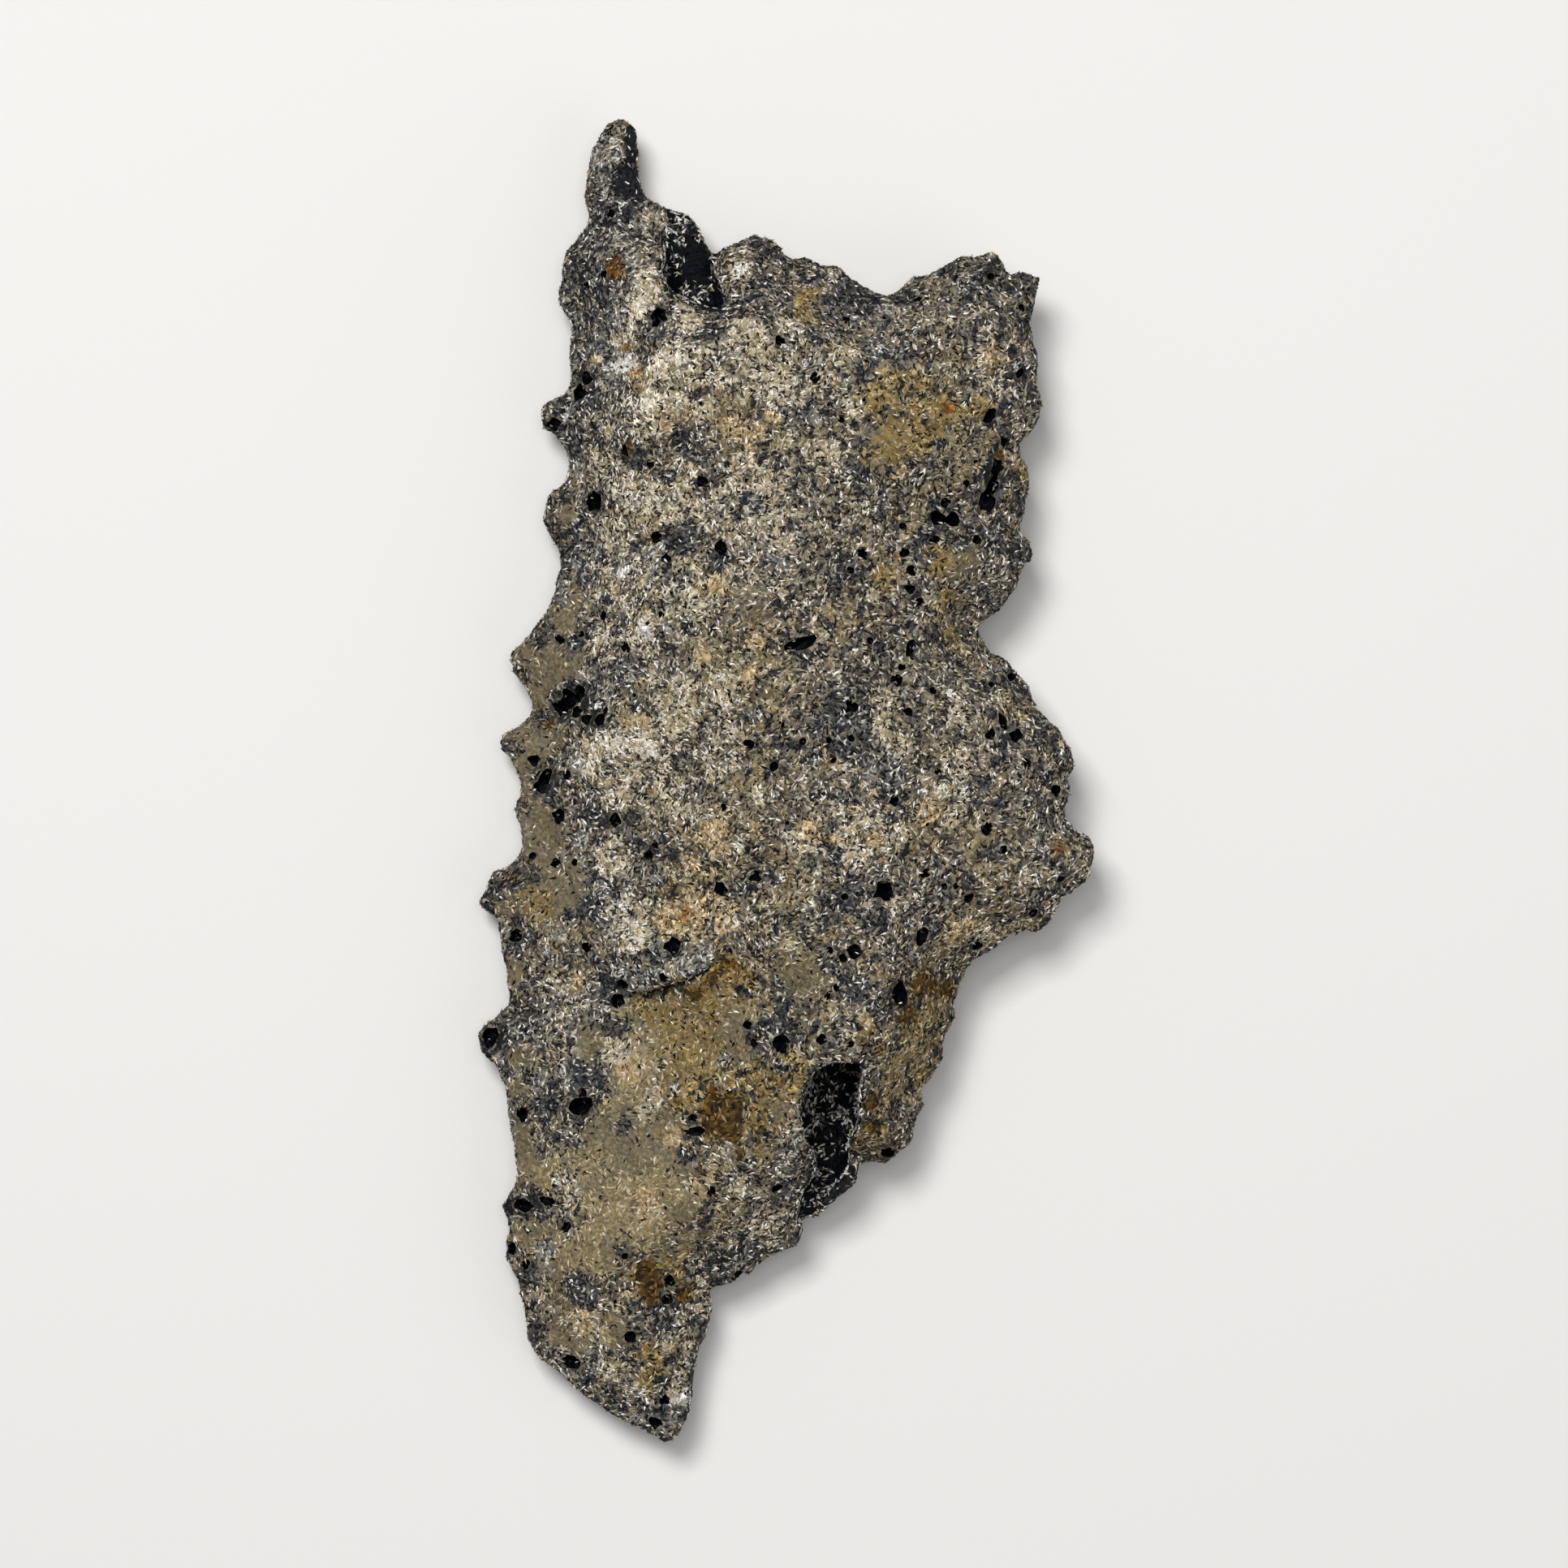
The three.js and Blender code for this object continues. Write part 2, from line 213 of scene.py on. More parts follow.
# The bore in mm along its axis, and the two windows where the wall over it has broken away.
# Pairs are for the top hollow and for the trough at the lower right.
bore = {
    "path": [
        (-7.6, 40, 6.4), (-6.3, 33.6, 5.7), (-4.6, 26, 5.5), (-1.6, 8, 5.4), (2, -7, 5.3), (3.6, -16, 5),
        (2.8, -21, 4.8), (2, -24, 4.7),
    ],
    "reach": 2.35 * mm,             # how far from the axis the glass lining lies
    "steps": 160,
    "facing": 0.25,                 # least share of a wall's normal towards the axis
    "roof": 0.2,                    # a wall facing up more than this is outside
    "sill": -0.4,                   # and in a window one facing down more than this
    "lip": 0.2 * mm,                # how far the dark glass shows round a window
    "low": 2 * mm,                  # no grains stick to the glass below this
    "cover": (0.85, 0.95),          # within the clumps that they stick in
    "clumpSize": 0.9 * mm,
    "clumpCloud": 31,
    "clumped": ((-0.3, 0.2), (-0.6, 0.1)),  # from no clump to a full one, on the cloud's scale
    "clumps": [
        (-5.7, 30.3, 0.5), (-5.9, 29.6, 0.4), (-6.6, 33.4, 0.4), (-6.9, 34, 0.4),
    ],
    "bareDepth": 1.5,               # how strongly the bare spots thin the clumps
    "bare": [
        (-5.6, 32.1, 0.75), (-5.1, 31, 0.45), (-4.3, 29.6, 0.45), (-6.6, 30.6, 0.35), (3.1, -23.6, 0.5),
        (4.2, -17.5, 0.4), (3.4, -21.8, 0.4), (1.3, -25.6, 0.3),
    ],
    "share": (0.32, 0.04, 0.03, 0.13, 0.18, 0.30, 0.0),
    "windows": [
        [
            (-7.5, 37), (-7.25, 34.5), (-7.15, 33.8), (-7.1, 33), (-7.35, 32.1), (-7.5, 31.4), (-7.6, 30.8),
            (-7.35, 30.4), (-7.25, 29.9), (-6.85, 29.5), (-6.25, 29.3), (-5.35, 28.9), (-4.35, 28.6),
            (-3.8, 28.7), (-3.9, 29.3), (-4.15, 30.1), (-4.45, 30.9), (-4.95, 31.2), (-4.65, 31.8),
            (-4.5, 32.5), (-4.4, 37),
        ],
        [
            (2.3, -17.4), (3, -17.1), (4.5, -17.2), (4.75, -17.7), (4.6, -19), (4.5, -20.8), (4.1, -21.8),
            (3.8, -22.5), (3.8, -23.4), (3.6, -24.3), (2.9, -25), (2, -26), (1.6, -27.3), (0.7, -27.3),
            (0.8, -26.5), (0.9, -25.6), (1.4, -24.7), (1.8, -23.9), (1.7, -23), (1.2, -22), (1.15, -20.8),
            (1.05, -19.6), (1.25, -18.6), (1.7, -17.9),
        ],
    ],
}

# Stains and glazes of the crust, and painted shade in its crevices, on its steep sides and in the groove
# under the ledge, each laid over the ones before it. The spots are x, y and radius in mm.
# share is how many of the grains there are quartz, cream, tan, grey, slate, black and amber.
# strays are the same stain in further places, mostly on the back: their size and how rare they are.
stainsAndShade = {
    "ash": {                        # wide, cool and coarse
        "tint": (0.106, 0.106, 0.1), "strength": 0.9, "cover": 1.0, "relief": 1.1,
        "share": (0.2, 0.08, 0.1, 0.26, 0.15, 0.21, 0.0), "strays": (5.5 * mm, 0.3),
        "spots": [
            (-11.8, 29.5, 2.4), (-11, 34.2, 2.2), (-11.8, 25, 1.8), (-11.5, 13.2, 2), (-9.4, 12.2, 1.6),
            (-10, 7.4, 2), (-11.2, -7, 2.2), (-9.2, -9.6, 1.5), (3.8, 29.4, 2.2), (1.6, 23.3, 2),
            (6.4, 25.4, 1.6), (-0.6, 14.8, 1.8), (-5, 16.4, 1.6), (-16.2, -16, 1.8), (-11.8, -35.4, 1.8),
            (-7.2, -38.6, 1.6), (6.2, 0.6, 1.8), (3.4, 3.2, 1.6), (-11.8, -13.8, 1.6),
        ],
    },
    "buff": {                       # wide, warm and finer
        "tint": (0.152, 0.119, 0.062), "strength": 0.9, "cover": 0.7, "relief": 0.8,
        "share": (0.1, 0.23, 0.33, 0.12, 0.08, 0.11, 0.03), "strays": (6.5 * mm, 0.3),
        "spots": [
            (-4.6, -4.6, 2.6), (-1, -6, 2), (-6.5, -8.2, 2), (1.4, -11.2, 2.4), (-3.6, -13.6, 2.8),
            (9.6, -12.4, 2.4), (12.4, -7.6, 1.8), (8.6, -3.2, 1.8), (12.8, -3.8, 1.5), (8, 23, 2.6),
            (12.4, 20.2, 1.8), (10.4, 18.4, 1.3), (-2.8, 21.4, 2.2), (-8.3, 22.4, 1.6), (-3, 7.4, 2.2),
            (-0.7, 5.4, 1.8), (-9.5, 3, 1.5), (-2.6, 1, 1.6), (5.2, 12.8, 2), (3.6, 9.4, 1.6),
            (8.8, 16.4, 1.4), (-9.8, -18, 3.2), (-10, -24.2, 3.4), (-8.6, -29.4, 3), (-12.6, -29.6, 2.4),
            (-5, -25, 2.4), (-4.8, -18.8, 2.4), (10.4, 9.8, 1.5), (-13.4, -9, 1.8), (-12.6, -34, 1.6),
            (1.5, -15, 1.2), (14.2, 4.4, 0.9), (15.4, -9, 0.9), (6.6, -12, 0.9), (-1.2, -22.8, 0.9),
            (11.4, 6.8, 0.9), (7.9, 14.8, 0.7), (8.4, -4.4, 0.8), (8.9, 1.5, 0.9),
        ],
    },
    "glaze": {                      # smooth melt, with few grains left in it
        "tint": (0.138, 0.112, 0.063), "strength": 0.95, "cover": 0.16, "relief": 0.3,
        "share": (0.015, 0.22, 0.48, 0.175, 0.05, 0.06, 0), "strays": (4.6 * mm, 0.42),
        "spots": [
            (-13.4, 11, 0.9), (-13.9, 9.5, 1), (-15, 8, 1.1), (-13.9, 7.3, 1.2), (-13.1, 7.9, 1),
            (-15, 6, 0.8), (-15.1, 4.8, 0.7), (-15.9, 3.3, 1.1), (-14.8, 2.8, 1), (-15.6, 1.8, 0.9),
            (-16.4, 0.5, 0.8), (-15.9, -1.2, 1), (-15, -2.5, 1.1), (-15.6, -3.7, 1), (-14.4, -4, 0.9),
            (-13.9, -5.5, 1.1), (-15.4, -6, 1), (-13.9, -7, 1.2), (-15.9, -7.5, 1.2), (-14.4, -8.2, 1.1),
            (-16.4, -10.5, 0.7), (-16.6, -12, 0.7), (-16.4, -14, 0.7), (-16.4, -17, 0.8), (-16.6, -19, 0.6),
            (-16.6, -22, 0.8), (-16.4, -24, 1), (-15.4, -24.5, 0.9), (-13.9, -24, 1.1), (-15.9, -27.8, 1),
            (-14.4, -28.5, 1.1), (-12.9, -29.5, 1.1), (-11.4, -29, 1.2), (-13.4, -31.5, 1),
            (-13.9, -34, 0.8), (-12.4, -34.5, 1.1), (-10.4, -34, 1.1), (-11.4, -16.5, 1.5),
            (-9.4, -16, 1.4), (-6.4, -15, 1.7), (-4.4, -14, 1.6), (-7.4, -17, 1.5), (-5.4, -17, 1.3),
            (-9.9, -19, 1.4), (-8.4, -21, 1.4), (-11.4, -22, 1.3), (-9.4, -23.5, 1.4), (-6.9, -23.5, 1.4),
            (-11.4, -25, 1.3), (-8.4, -26, 1.5), (-9.9, -27.5, 1.4), (-6.9, -28.5, 1.3), (-6.4, -26, 1),
            (-12.4, -24.5, 1), (-13.6, 16.4, 0.7), (-2.6, -15.6, 1.2), (6.4, 20.8, 1.4), (10.4, 13.4, 1),
            (0.6, -12, 1.2), (-0.6, -20, 1.2), (-1.7, 9.6, 1), (-16.3, 1.7, 0.8), (-15.8, 7.7, 0.8),
            (-17.4, -7.4, 0.7),
        ],
    },
    "straw": {
        "tint": (0.22, 0.171, 0.085), "strength": 0.9, "cover": 0.5, "relief": 0.5,
        "share": (0.05, 0.45, 0.36, 0.04, 0.03, 0.04, 0.03), "strays": None,
        "spots": [
            (-10.8, -26.5, 1.3), (-12.4, -29.4, 1.2), (-11.8, -23.3, 1.2), (-7.2, -16.3, 1.3),
            (-8.6, -19.3, 1.3), (-15.1, -24.6, 0.9), (-9.5, -16.4, 1.3), (-13.7, -24, 1), (-7.4, -25, 1.2),
            (-9.2, -28.4, 1), (-14.3, -28.6, 0.9), (-5.4, -16.2, 0.8), (-5, -24.4, 0.9), (-11.2, -19.4, 1),
            (-12.9, -11, 0.8), (-9.6, -24.8, 0.9), (-12.2, -26.6, 1), (-7.6, -27.4, 0.8),
            (-11.4, -33.8, 0.8), (8.6, -12.2, 0.5), (-2.2, -14, 0.8), (-15, -17, 0.6), (-6, -35.2, 0.6),
            (-2.8, -24.1, 0.6), (-9.8, -14.3, 0.6), (-5.1, -31.6, 0.5), (9.9, -8.8, 0.6),
            (-15.3, -28.8, 0.6), (9.1, -17.4, 0.5), (-10.9, -31, 0.7), (9.8, -9.4, 0.6), (13.4, 4.3, 0.7),
            (4.7, -11, 0.5), (6.6, -16.6, 0.5), (5.3, -18.6, 0.4), (-7.9, -13.4, 0.6), (6.6, 16, 0.5),
            (7.3, -21.4, 0.4), (13.1, -9.5, 0.7), (4.8, -14.7, 0.6), (2.6, 1, 0.6), (-1.7, -3.1, 0.7),
            (-6.1, -17, 0.7), (-6.8, -34.9, 0.5), (-1, 8.8, 0.6), (8.1, -17, 0.6), (6.3, 9.9, 0.5),
            (14.9, 3.9, 0.5), (5.5, -1, 0.5), (3.9, -8.3, 0.4),
        ],
    },
    "cream": {
        "tint": (0.3, 0.25, 0.16), "strength": 0.9, "cover": 1.0, "relief": 1.0,
        "share": (0.37, 0.32, 0.14, 0.03, 0.04, 0.1, 0), "strays": (3.4 * mm, 0.36),
        "spots": [
            (-2.3, 26.6, 1.3), (-2.6, 21.2, 1.1), (-8.8, 17.5, 1.6), (-4.9, 25.5, 0.9), (-6.5, 4.6, 1.3),
            (-10.6, 12, 1.2), (-8.8, 9.5, 1.3), (4.7, -2.4, 1.4), (9.8, -1.4, 1.2), (-9.3, -8.5, 1.5),
            (-2.9, 31.3, 0.9), (10.5, 5.4, 0.6), (2.7, 19.6, 0.8), (-5.1, 16.8, 1.2), (-3.4, 15.1, 0.9),
            (-10.9, -5, 0.9), (1, -3.7, 1), (-0.9, 23.9, 1.3), (-13.9, -13.8, 0.5), (-6, 5.6, 0.6),
            (-11.9, 2, 0.9), (3.7, -15.7, 0.7), (-6.2, 18.4, 1), (-5.2, 10.4, 1), (-9.4, 12.2, 0.9),
            (-5.8, -1.8, 1), (-11.8, 8.4, 0.8), (-0.2, 15.4, 0.9), (-10.6, -16.4, 0.9), (-8.6, -20.6, 0.7),
            (-3.8, 24.3, 0.7), (12.5, 25.4, 1), (5.8, 3.2, 1), (-10.3, 14.6, 1), (-0.6, 17.9, 1),
            (-3.8, 1.6, 1), (-13.2, -12.6, 0.8), (-7.1, 11, 1), (-12.2, -33.6, 1), (-10.1, -0.7, 1),
            (-6.9, -0.9, 1), (-9, -10.2, 0.9), (-13.5, -25.2, 0.9), (4.2, 22.8, 0.6), (-0.5, 20.5, 0.6),
            (10.4, 1.2, 0.9), (0.4, 25.2, 0.7), (-11.3, 19.3, 0.9), (-5.2, 12.9, 0.5), (-6.1, 28.1, 0.9),
            (-11, 8, 0.9), (-10, -4.4, 1), (-0.2, 14.2, 0.6), (-8.7, 7.6, 0.9), (-8, 34.6, 0.8),
            (1.8, 7.3, 0.7), (6.4, -7.6, 0.7), (-8.4, 30.2, 0.9), (5.6, 6.9, 0.7), (7, 17.6, 0.8),
            (-1.5, -27.1, 0.8), (-8.8, -37.2, 0.8), (-10.6, -36.2, 0.8), (1.2, 9.9, 0.8), (-1, -27.9, 0.8),
            (12.2, -9.1, 0.7), (-3.7, 6, 0.9), (-3.3, -24.6, 0.8), (-2.7, 18.9, 0.8), (-2.5, 12.3, 0.8),
            (0.6, 0.2, 0.7), (-1.7, 16, 0.8), (-9.4, 1.1, 0.8), (-6.2, 2.8, 0.8), (-4.8, 0.6, 0.8),
            (-0.1, 11.6, 0.7), (4.3, -4.8, 0.7), (2.5, 24.2, 0.7), (0.9, 23.6, 0.7), (7.1, 2.1, 0.7),
            (-5.4, 24.2, 0.7), (13.1, 24.9, 0.6), (-11, 21.5, 0.6), (6.9, -3.5, 0.6), (0.8, 9.4, 0.4),
            (-9.8, -17, 0.5), (-8, -19.6, 0.6), (2, 8.7, 0.5), (-3.7, 4.8, 0.7), (-13, -0.5, 0.6),
            (-8, 15.6, 0.6), (-5, -8.7, 0.6), (3.4, 1, 0.6), (-10.6, 26.7, 0.5), (0, 27.6, 0.5),
            (4.1, -5, 0.6), (1, 23.2, 0.5), (1.4, -6.1, 0.6), (4.1, 26.2, 0.5), (8, -2.2, 0.6),
            (-2.7, -3.8, 0.5), (-8, -2.7, 0.5), (-5.9, -8.7, 0.5), (7.2, -16.8, 0.5), (-2.9, -24.4, 0.5),
            (13.3, 5, 0.6), (-1.8, -1.1, 0.6), (-3.5, 3.1, 0.6), (10.3, 27.9, 0.6), (-7.4, 1.1, 0.6),
            (3.1, 25.7, 0.6), (-2.9, 17.8, 0.5), (1.6, 20, 0.6), (-4.8, -9.3, 0.5), (2.6, 23.2, 0.6),
            (-7.8, 13.2, 0.5), (-8.3, 6.2, 0.6), (7.3, 17.6, 0.5), (-9.3, 27.6, 0.5), (-13.4, -25.7, 0.5),
            (-8.8, -25.3, 0.4),
        ],
    },
    "pale": {
        "tint": (0.58, 0.5, 0.35), "strength": 0.9, "cover": 1.0, "relief": 1.0,
        "share": (0.66, 0.31, 0.01, 0, 0, 0.02, 0), "strays": None,
        "spots": [
            (-8.6, 22.4, 1.2), (-9.5, 2.4, 1.1), (-8, 2.7, 1), (-6.9, 25.7, 1), (-8.3, 17, 0.8),
            (-11.9, 0.9, 0.7), (-8.2, 24.8, 0.7), (-7.2, 23.3, 0.4), (-8.3, 21.4, 0.7), (-10.6, 2.3, 0.8),
            (-8.8, 28.9, 0.8), (-9, -10, 0.6), (-6.5, 22.6, 0.8), (-9.4, 23.3, 0.7), (-9.1, 28.3, 0.6),
            (-10, 18, 0.8), (-9, 21.2, 0.5), (-3.3, 26, 0.6), (-9.3, 13.2, 0.6), (-9, -17.5, 0.4),
            (-8.2, 29.1, 0.5), (-2.9, 25.6, 0.5), (-9.9, -8.8, 0.4), (-5.6, 11.3, 0.4), (-7, 24.9, 0.5),
        ],
    },
    "peach": {
        "tint": (0.385, 0.27, 0.13), "strength": 0.9, "cover": 0.7, "relief": 0.9,
        "share": (0.13, 0.5, 0.2, 0.03, 0.02, 0.04, 0.08), "strays": None,
        "spots": [
            (-4.8, -5, 1.1), (-4.8, -8.5, 1.2), (-1.8, 8.6, 0.8), (-1.2, 21.4, 1), (-3.3, -2.4, 0.9),
            (-7.2, 21.8, 0.7), (-5, 7.5, 0.8), (-4.2, 11.9, 0.6), (1.8, -3.2, 0.8), (10.8, -9.3, 0.9),
            (-5, 22.4, 0.8), (-9.4, -17.9, 0.8), (-6.9, -21.9, 0.7), (12.8, 25.7, 0.7), (8.9, -1.9, 0.9),
            (-12.9, -12.5, 0.6), (-12.4, -33.2, 0.8), (-8.4, -26, 1), (5.4, -3.6, 0.7), (-5, -3.8, 0.9),
            (-7.1, -8.7, 0.9), (-3.5, -8.2, 0.8), (-1.9, 6.2, 0.7), (-6.7, 22.2, 0.5), (-5.6, -7.6, 0.7),
            (-9.7, 26.4, 0.45), (-9, 25.3, 0.3), (-6.1, -8.4, 0.9), (-4.9, -4.2, 0.7), (-9.1, 24.2, 0.8),
            (-2.9, 21.4, 0.8), (3.3, -4, 0.6), (-9.6, 3.4, 0.5), (-11.7, 25.8, 0.3), (-4.6, -9, 0.7),
            (-6.7, -16.2, 0.6), (-4.6, -3.2, 0.6), (8.8, -16.2, 0.6), (-8.5, 3.4, 0.5),
        ],
    },
    "slate": {
        "tint": (0.042, 0.044, 0.045), "strength": 0.9, "cover": 1.0, "relief": 1.2,
        "share": (0.13, 0.02, 0.03, 0.16, 0.26, 0.4, 0), "strays": (3.0 * mm, 0.3),
        "spots": [
            (-12, 23.9, 1.1), (-6.6, 14.9, 1.2), (-1.9, -6.1, 1.2), (-10.2, -12.6, 1.2), (-5.2, -11.3, 1.2),
            (-12.4, -18.5, 1.5), (-14.8, -20.1, 0.9), (-15.4, -26, 1.2), (-12.4, -31.4, 1.2),
            (-3.7, -30.2, 1.6), (13.6, 2.3, 0.8), (9.8, 16.2, 1.3), (-11.2, 30, 1.1), (-13, 4.9, 0.9),
            (3.8, 4.5, 1.5), (1.1, 7.4, 0.6), (0.2, -16.1, 1.3), (-11, 34.3, 0.7), (-1.5, 30.6, 0.8),
            (4.2, -7.1, 1.4), (9, -8.7, 0.8), (-17.9, -6.6, 0.9), (-18.1, -16.1, 0.9), (-16.4, -10.1, 0.8),
            (-7.2, -32, 1.1), (6, 8, 1.1), (14, 14, 0.8), (5.5, -8.8, 0.8), (-13.4, 28, 0.9),
            (14.2, 25, 0.8), (-12.4, 31.8, 1), (-12.4, 29, 1), (-13.6, 22.6, 0.9), (12.9, 14.8, 1),
            (-10.2, -2.8, 0.7), (-1.2, -15.4, 1), (-12.4, -37, 0.6), (-10.3, -38.4, 0.7),
            (-7.4, -33.4, 0.6), (13.3, 6.3, 0.5), (-3.8, 28.6, 0.7), (11.6, 29.6, 0.9), (15, 29, 0.6),
            (-4.6, 14.2, 0.7), (8.5, 14.3, 1.1), (-8.1, -4.2, 0.5), (-11, 11, 0.5), (-8.1, 27.3, 0.9),
            (-8.8, 19.4, 0.7), (3.7, 12.8, 1.1), (-12.9, 8.3, 0.7), (4.3, -12.6, 0.9), (3.1, -10.7, 0.8),
            (3.7, 2.3, 0.9), (-4.5, 27, 0.7), (-13.7, 20.9, 0.8), (-12.1, -7.9, 0.8), (7.5, 11.4, 0.5),
            (6, -1, 0.5), (-0.1, -13.5, 0.7), (-11.9, 35.8, 0.9), (-5.9, 20.4, 1), (-2.4, -28.4, 1.1),
            (-0.7, 0.9, 0.5), (3, -4.4, 0.7), (-5.8, -18.2, 0.7), (-0.1, -15.6, 0.8), (-9.6, 35.6, 0.7),
            (-6.2, -39.3, 0.6), (-4.1, 13, 0.6), (13.2, -4.3, 0.6), (13.3, 21.1, 0.6), (11.2, 14.9, 0.6),
            (-12, -1.8, 0.6), (0.4, 15.4, 0.5), (4.5, 18.9, 0.6), (-1.6, -20.6, 0.6), (-12.1, -2.2, 0.7),
            (5.6, -13.6, 0.6), (-13.4, 13.8, 0.6), (-10.3, 6.8, 0.5), (-6, 9.2, 0.4), (-12.8, 15.2, 0.6),
            (1.9, 3.2, 0.5), (-6, -22.9, 0.4), (-10, -21, 0.4), (-7.2, 18.4, 0.6), (4.7, 18.7, 0.5),
            (9, -5, 0.5), (-3, -7, 0.4), (6.3, -2.4, 0.4), (-12.6, -21, 0.5), (-12.3, 16.8, 0.6),
            (10.2, 8.2, 0.4), (3.4, 29.7, 0.9), (4.9, 29, 0.7), (-9.8, -21.4, 0.5), (-6.2, -22.9, 0.5),
            (12.2, -4.7, 0.4), (4.4, 8.6, 0.5), (-12.2, 9.1, 0.5), (16.9, -1.9, 0.5), (-18.6, -7.4, 0.6),
            (-0.7, -20.9, 0.4), (-13.4, -8.5, 0.5), (4.7, 17.7, 0.5), (-11.7, -10.9, 0.4),
            (-6.3, -18.4, 0.4), (2.3, -7, 0.5), (2.6, -10.6, 0.5), (-0.6, -12.4, 0.4), (-9.2, -32.3, 0.5),
            (14.7, 27.8, 0.6), (15.5, -4.6, 0.4), (-12.9, 21, 0.6), (10, 31.7, 0.6), (0.9, 32, 0.5),
            (9.8, 7.9, 0.4), (7.4, 26.2, 0.5), (-10.3, -11.9, 0.35), (11.7, 2.3, 0.4), (-9.1, -3.8, 0.5),
            (13.6, -3.9, 0.4),
        ],
    },
    "steepShade": {                      # painted shade on steep sides and along the outline: a dark tint and dark grains
        "tint": (0.038, 0.034, 0.027), "strength": 0.85, "cover": 0.9, "relief": 1.0,
        "share": (0.03, 0.02, 0.07, 0.15, 0.33, 0.39, 0.01), "strays": None,
        "spots": [
            (14.8, 31, 1.1), (13.2, 31.4, 0.9), (7.1, 29.8, 0.9), (10.5, 31.8, 0.8), (-1.5, 33, 0.8),
            (0.9, 32, 0.8), (-13.3, 31, 0.8), (17.4, 0.9, 0.8), (16.2, 2.9, 0.9), (14.6, 18.8, 0.9),
            (14.7, 5.4, 0.9), (16, -8.9, 0.4), (15.4, 23.2, 0.8), (-15.5, -34.5, 0.9), (-15.3, 8.9, 0.9),
            (-15.9, -5.8, 0.9), (-15.1, 3.7, 0.8), (-14.2, 11.2, 0.8), (-16.7, -14, 0.8), (14.5, 14.4, 0.9),
            (5.2, 19.8, 0.9), (9.1, 8.8, 0.8), (-3.4, -11.9, 1), (-10.6, -15, 0.9), (-9.8, -29, 0.7),
            (-15.7, -30.6, 0.8), (8.4, -4.1, 0.4), (4.8, 30, 0.8), (-5, 17.7, 0.8), (3, -21.9, 0.6),
            (-18.6, -7.4, 0.8), (-18.6, -16.4, 0.8), (-17.1, 1.9, 0.8), (-15.2, 9.4, 0.7),
            (5.9, -22.9, 0.8), (5.6, 29.7, 0.7), (-13.4, 31, 0.7), (-16.6, -6.4, 0.6), (10, 31.8, 0.8),
            (12.2, 31, 0.7), (14.8, 30.8, 0.8), (-17.7, -5.7, 0.6), (-14.8, 0.5, 0.6), (5.9, -23, 0.6),
            (-10.4, -10.7, 0.4), (-13.1, 20.2, 0.5), (14.3, 16.9, 0.6), (15.2, 30.4, 0.6),
            (17.9, -6.5, 0.6), (-11.9, 36, 0.5), (0.8, -28.2, 0.5), (4.3, 30.3, 0.5), (10.6, -12.6, 0.5),
            (7.4, -14.5, 0.4), (-0.7, 33, 0.8), (14.4, 30, 0.7), (14.3, 17, 0.6), (-16.6, -1.6, 0.6),
            (-8.8, 36.1, 0.5), (6, -22.9, 0.6),
        ],
    },
    "gold": {
        "tint": (0.19, 0.129, 0.037), "strength": 0.95, "cover": 0.6, "relief": 0.6,
        "share": (0.02, 0.24, 0.4, 0.04, 0.06, 0.14, 0.1), "strays": (3.8 * mm, 0.44),
        "spots": [
            (6.3, 23.4, 1.6), (6.2, 19.9, 1.3), (8, 21.4, 1.4), (1.5, 29.1, 1.3), (-15.3, -7.8, 1.2),
            (-6.1, -16.3, 1.6), (8.4, -15.6, 1.6), (-5.2, -12.9, 1.6), (-8.3, -30.4, 1), (5.5, -21.6, 0.9),
            (-1.6, -18.7, 1.7), (5.9, 12.2, 0.9), (-8.2, -36.2, 1.1), (-1.9, -21.5, 1.1), (9.3, 13.4, 1),
            (6.8, -18.4, 1.2), (9.2, 22.6, 1.6), (-6.4, -19, 1.2), (9, -16, 1.2), (5.6, -20.2, 0.8),
            (9.9, 11, 0.8), (10.2, 8.6, 0.8), (-6.7, -30.1, 1), (-7.4, -13.4, 1.1), (0.9, -16.8, 0.9),
            (5.2, -15.6, 0.8), (-3, -12.4, 1.2), (7.8, -17.3, 0.9), (0.4, -18.6, 0.8), (8.6, -15.4, 0.9),
            # the spots just under the ledge, from (-8.8, -13.7) to (-3.3, -12), are partly the gold of the
            # melt there and partly painted shadow under the slab
            (-7.4, -13.8, 1), (-5.6, -13.2, 1), (-4.2, -12.2, 0.8), (-4.4, -17, 0.9), (-8.8, -13.7, 0.7),
            (-7.2, -13.4, 0.7), (-5.8, -12.8, 0.6), (-4.4, -11.9, 0.6), (-3.4, -11.3, 0.6),
            (9.6, -13.8, 0.9), (12, 22.7, 0.8), (14.6, 18.9, 0.6), (4.6, -22.5, 0.6), (-8.8, -35.2, 0.7),
            (-3.3, -12, 0.6), (-6.7, -13.2, 0.7), (16.9, -4.2, 0.7),
        ],
    },
    "dust": {                       # loose grains, pale and grey
        "tint": (0.155, 0.155, 0.142), "strength": 0.9, "cover": 1.0, "relief": 1.0,
        "share": (0.24, 0.08, 0.08, 0.34, 0.12, 0.14, 0), "strays": None,
        "spots": [
            (-11, 38.8, 0.9), (-11.3, 37.4, 0.9), (-14.8, -28.8, 0.7), (-13.1, -10.7, 0.6),
            (-8.8, -11.4, 0.6), (-13.4, 22.5, 0.5), (-5.9, -35.3, 0.6), (-0.4, -23.8, 0.5),
            (-7.8, -11.3, 0.9), (-9.4, -11.8, 0.7), (-13.4, -18.3, 0.6), (-8, 13.8, 0.5), (-13, 28.2, 0.5),
            (4.7, 3.3, 0.5), (-6.2, -11, 0.7), (-7.4, -37.8, 0.6), (-9.1, -39.3, 0.5), (-0.2, -25.3, 0.4),
            (-13.1, -37.2, 0.5), (-11.2, -13.8, 0.6), (-12.6, -3.8, 0.6), (-13.4, 23.8, 0.4),
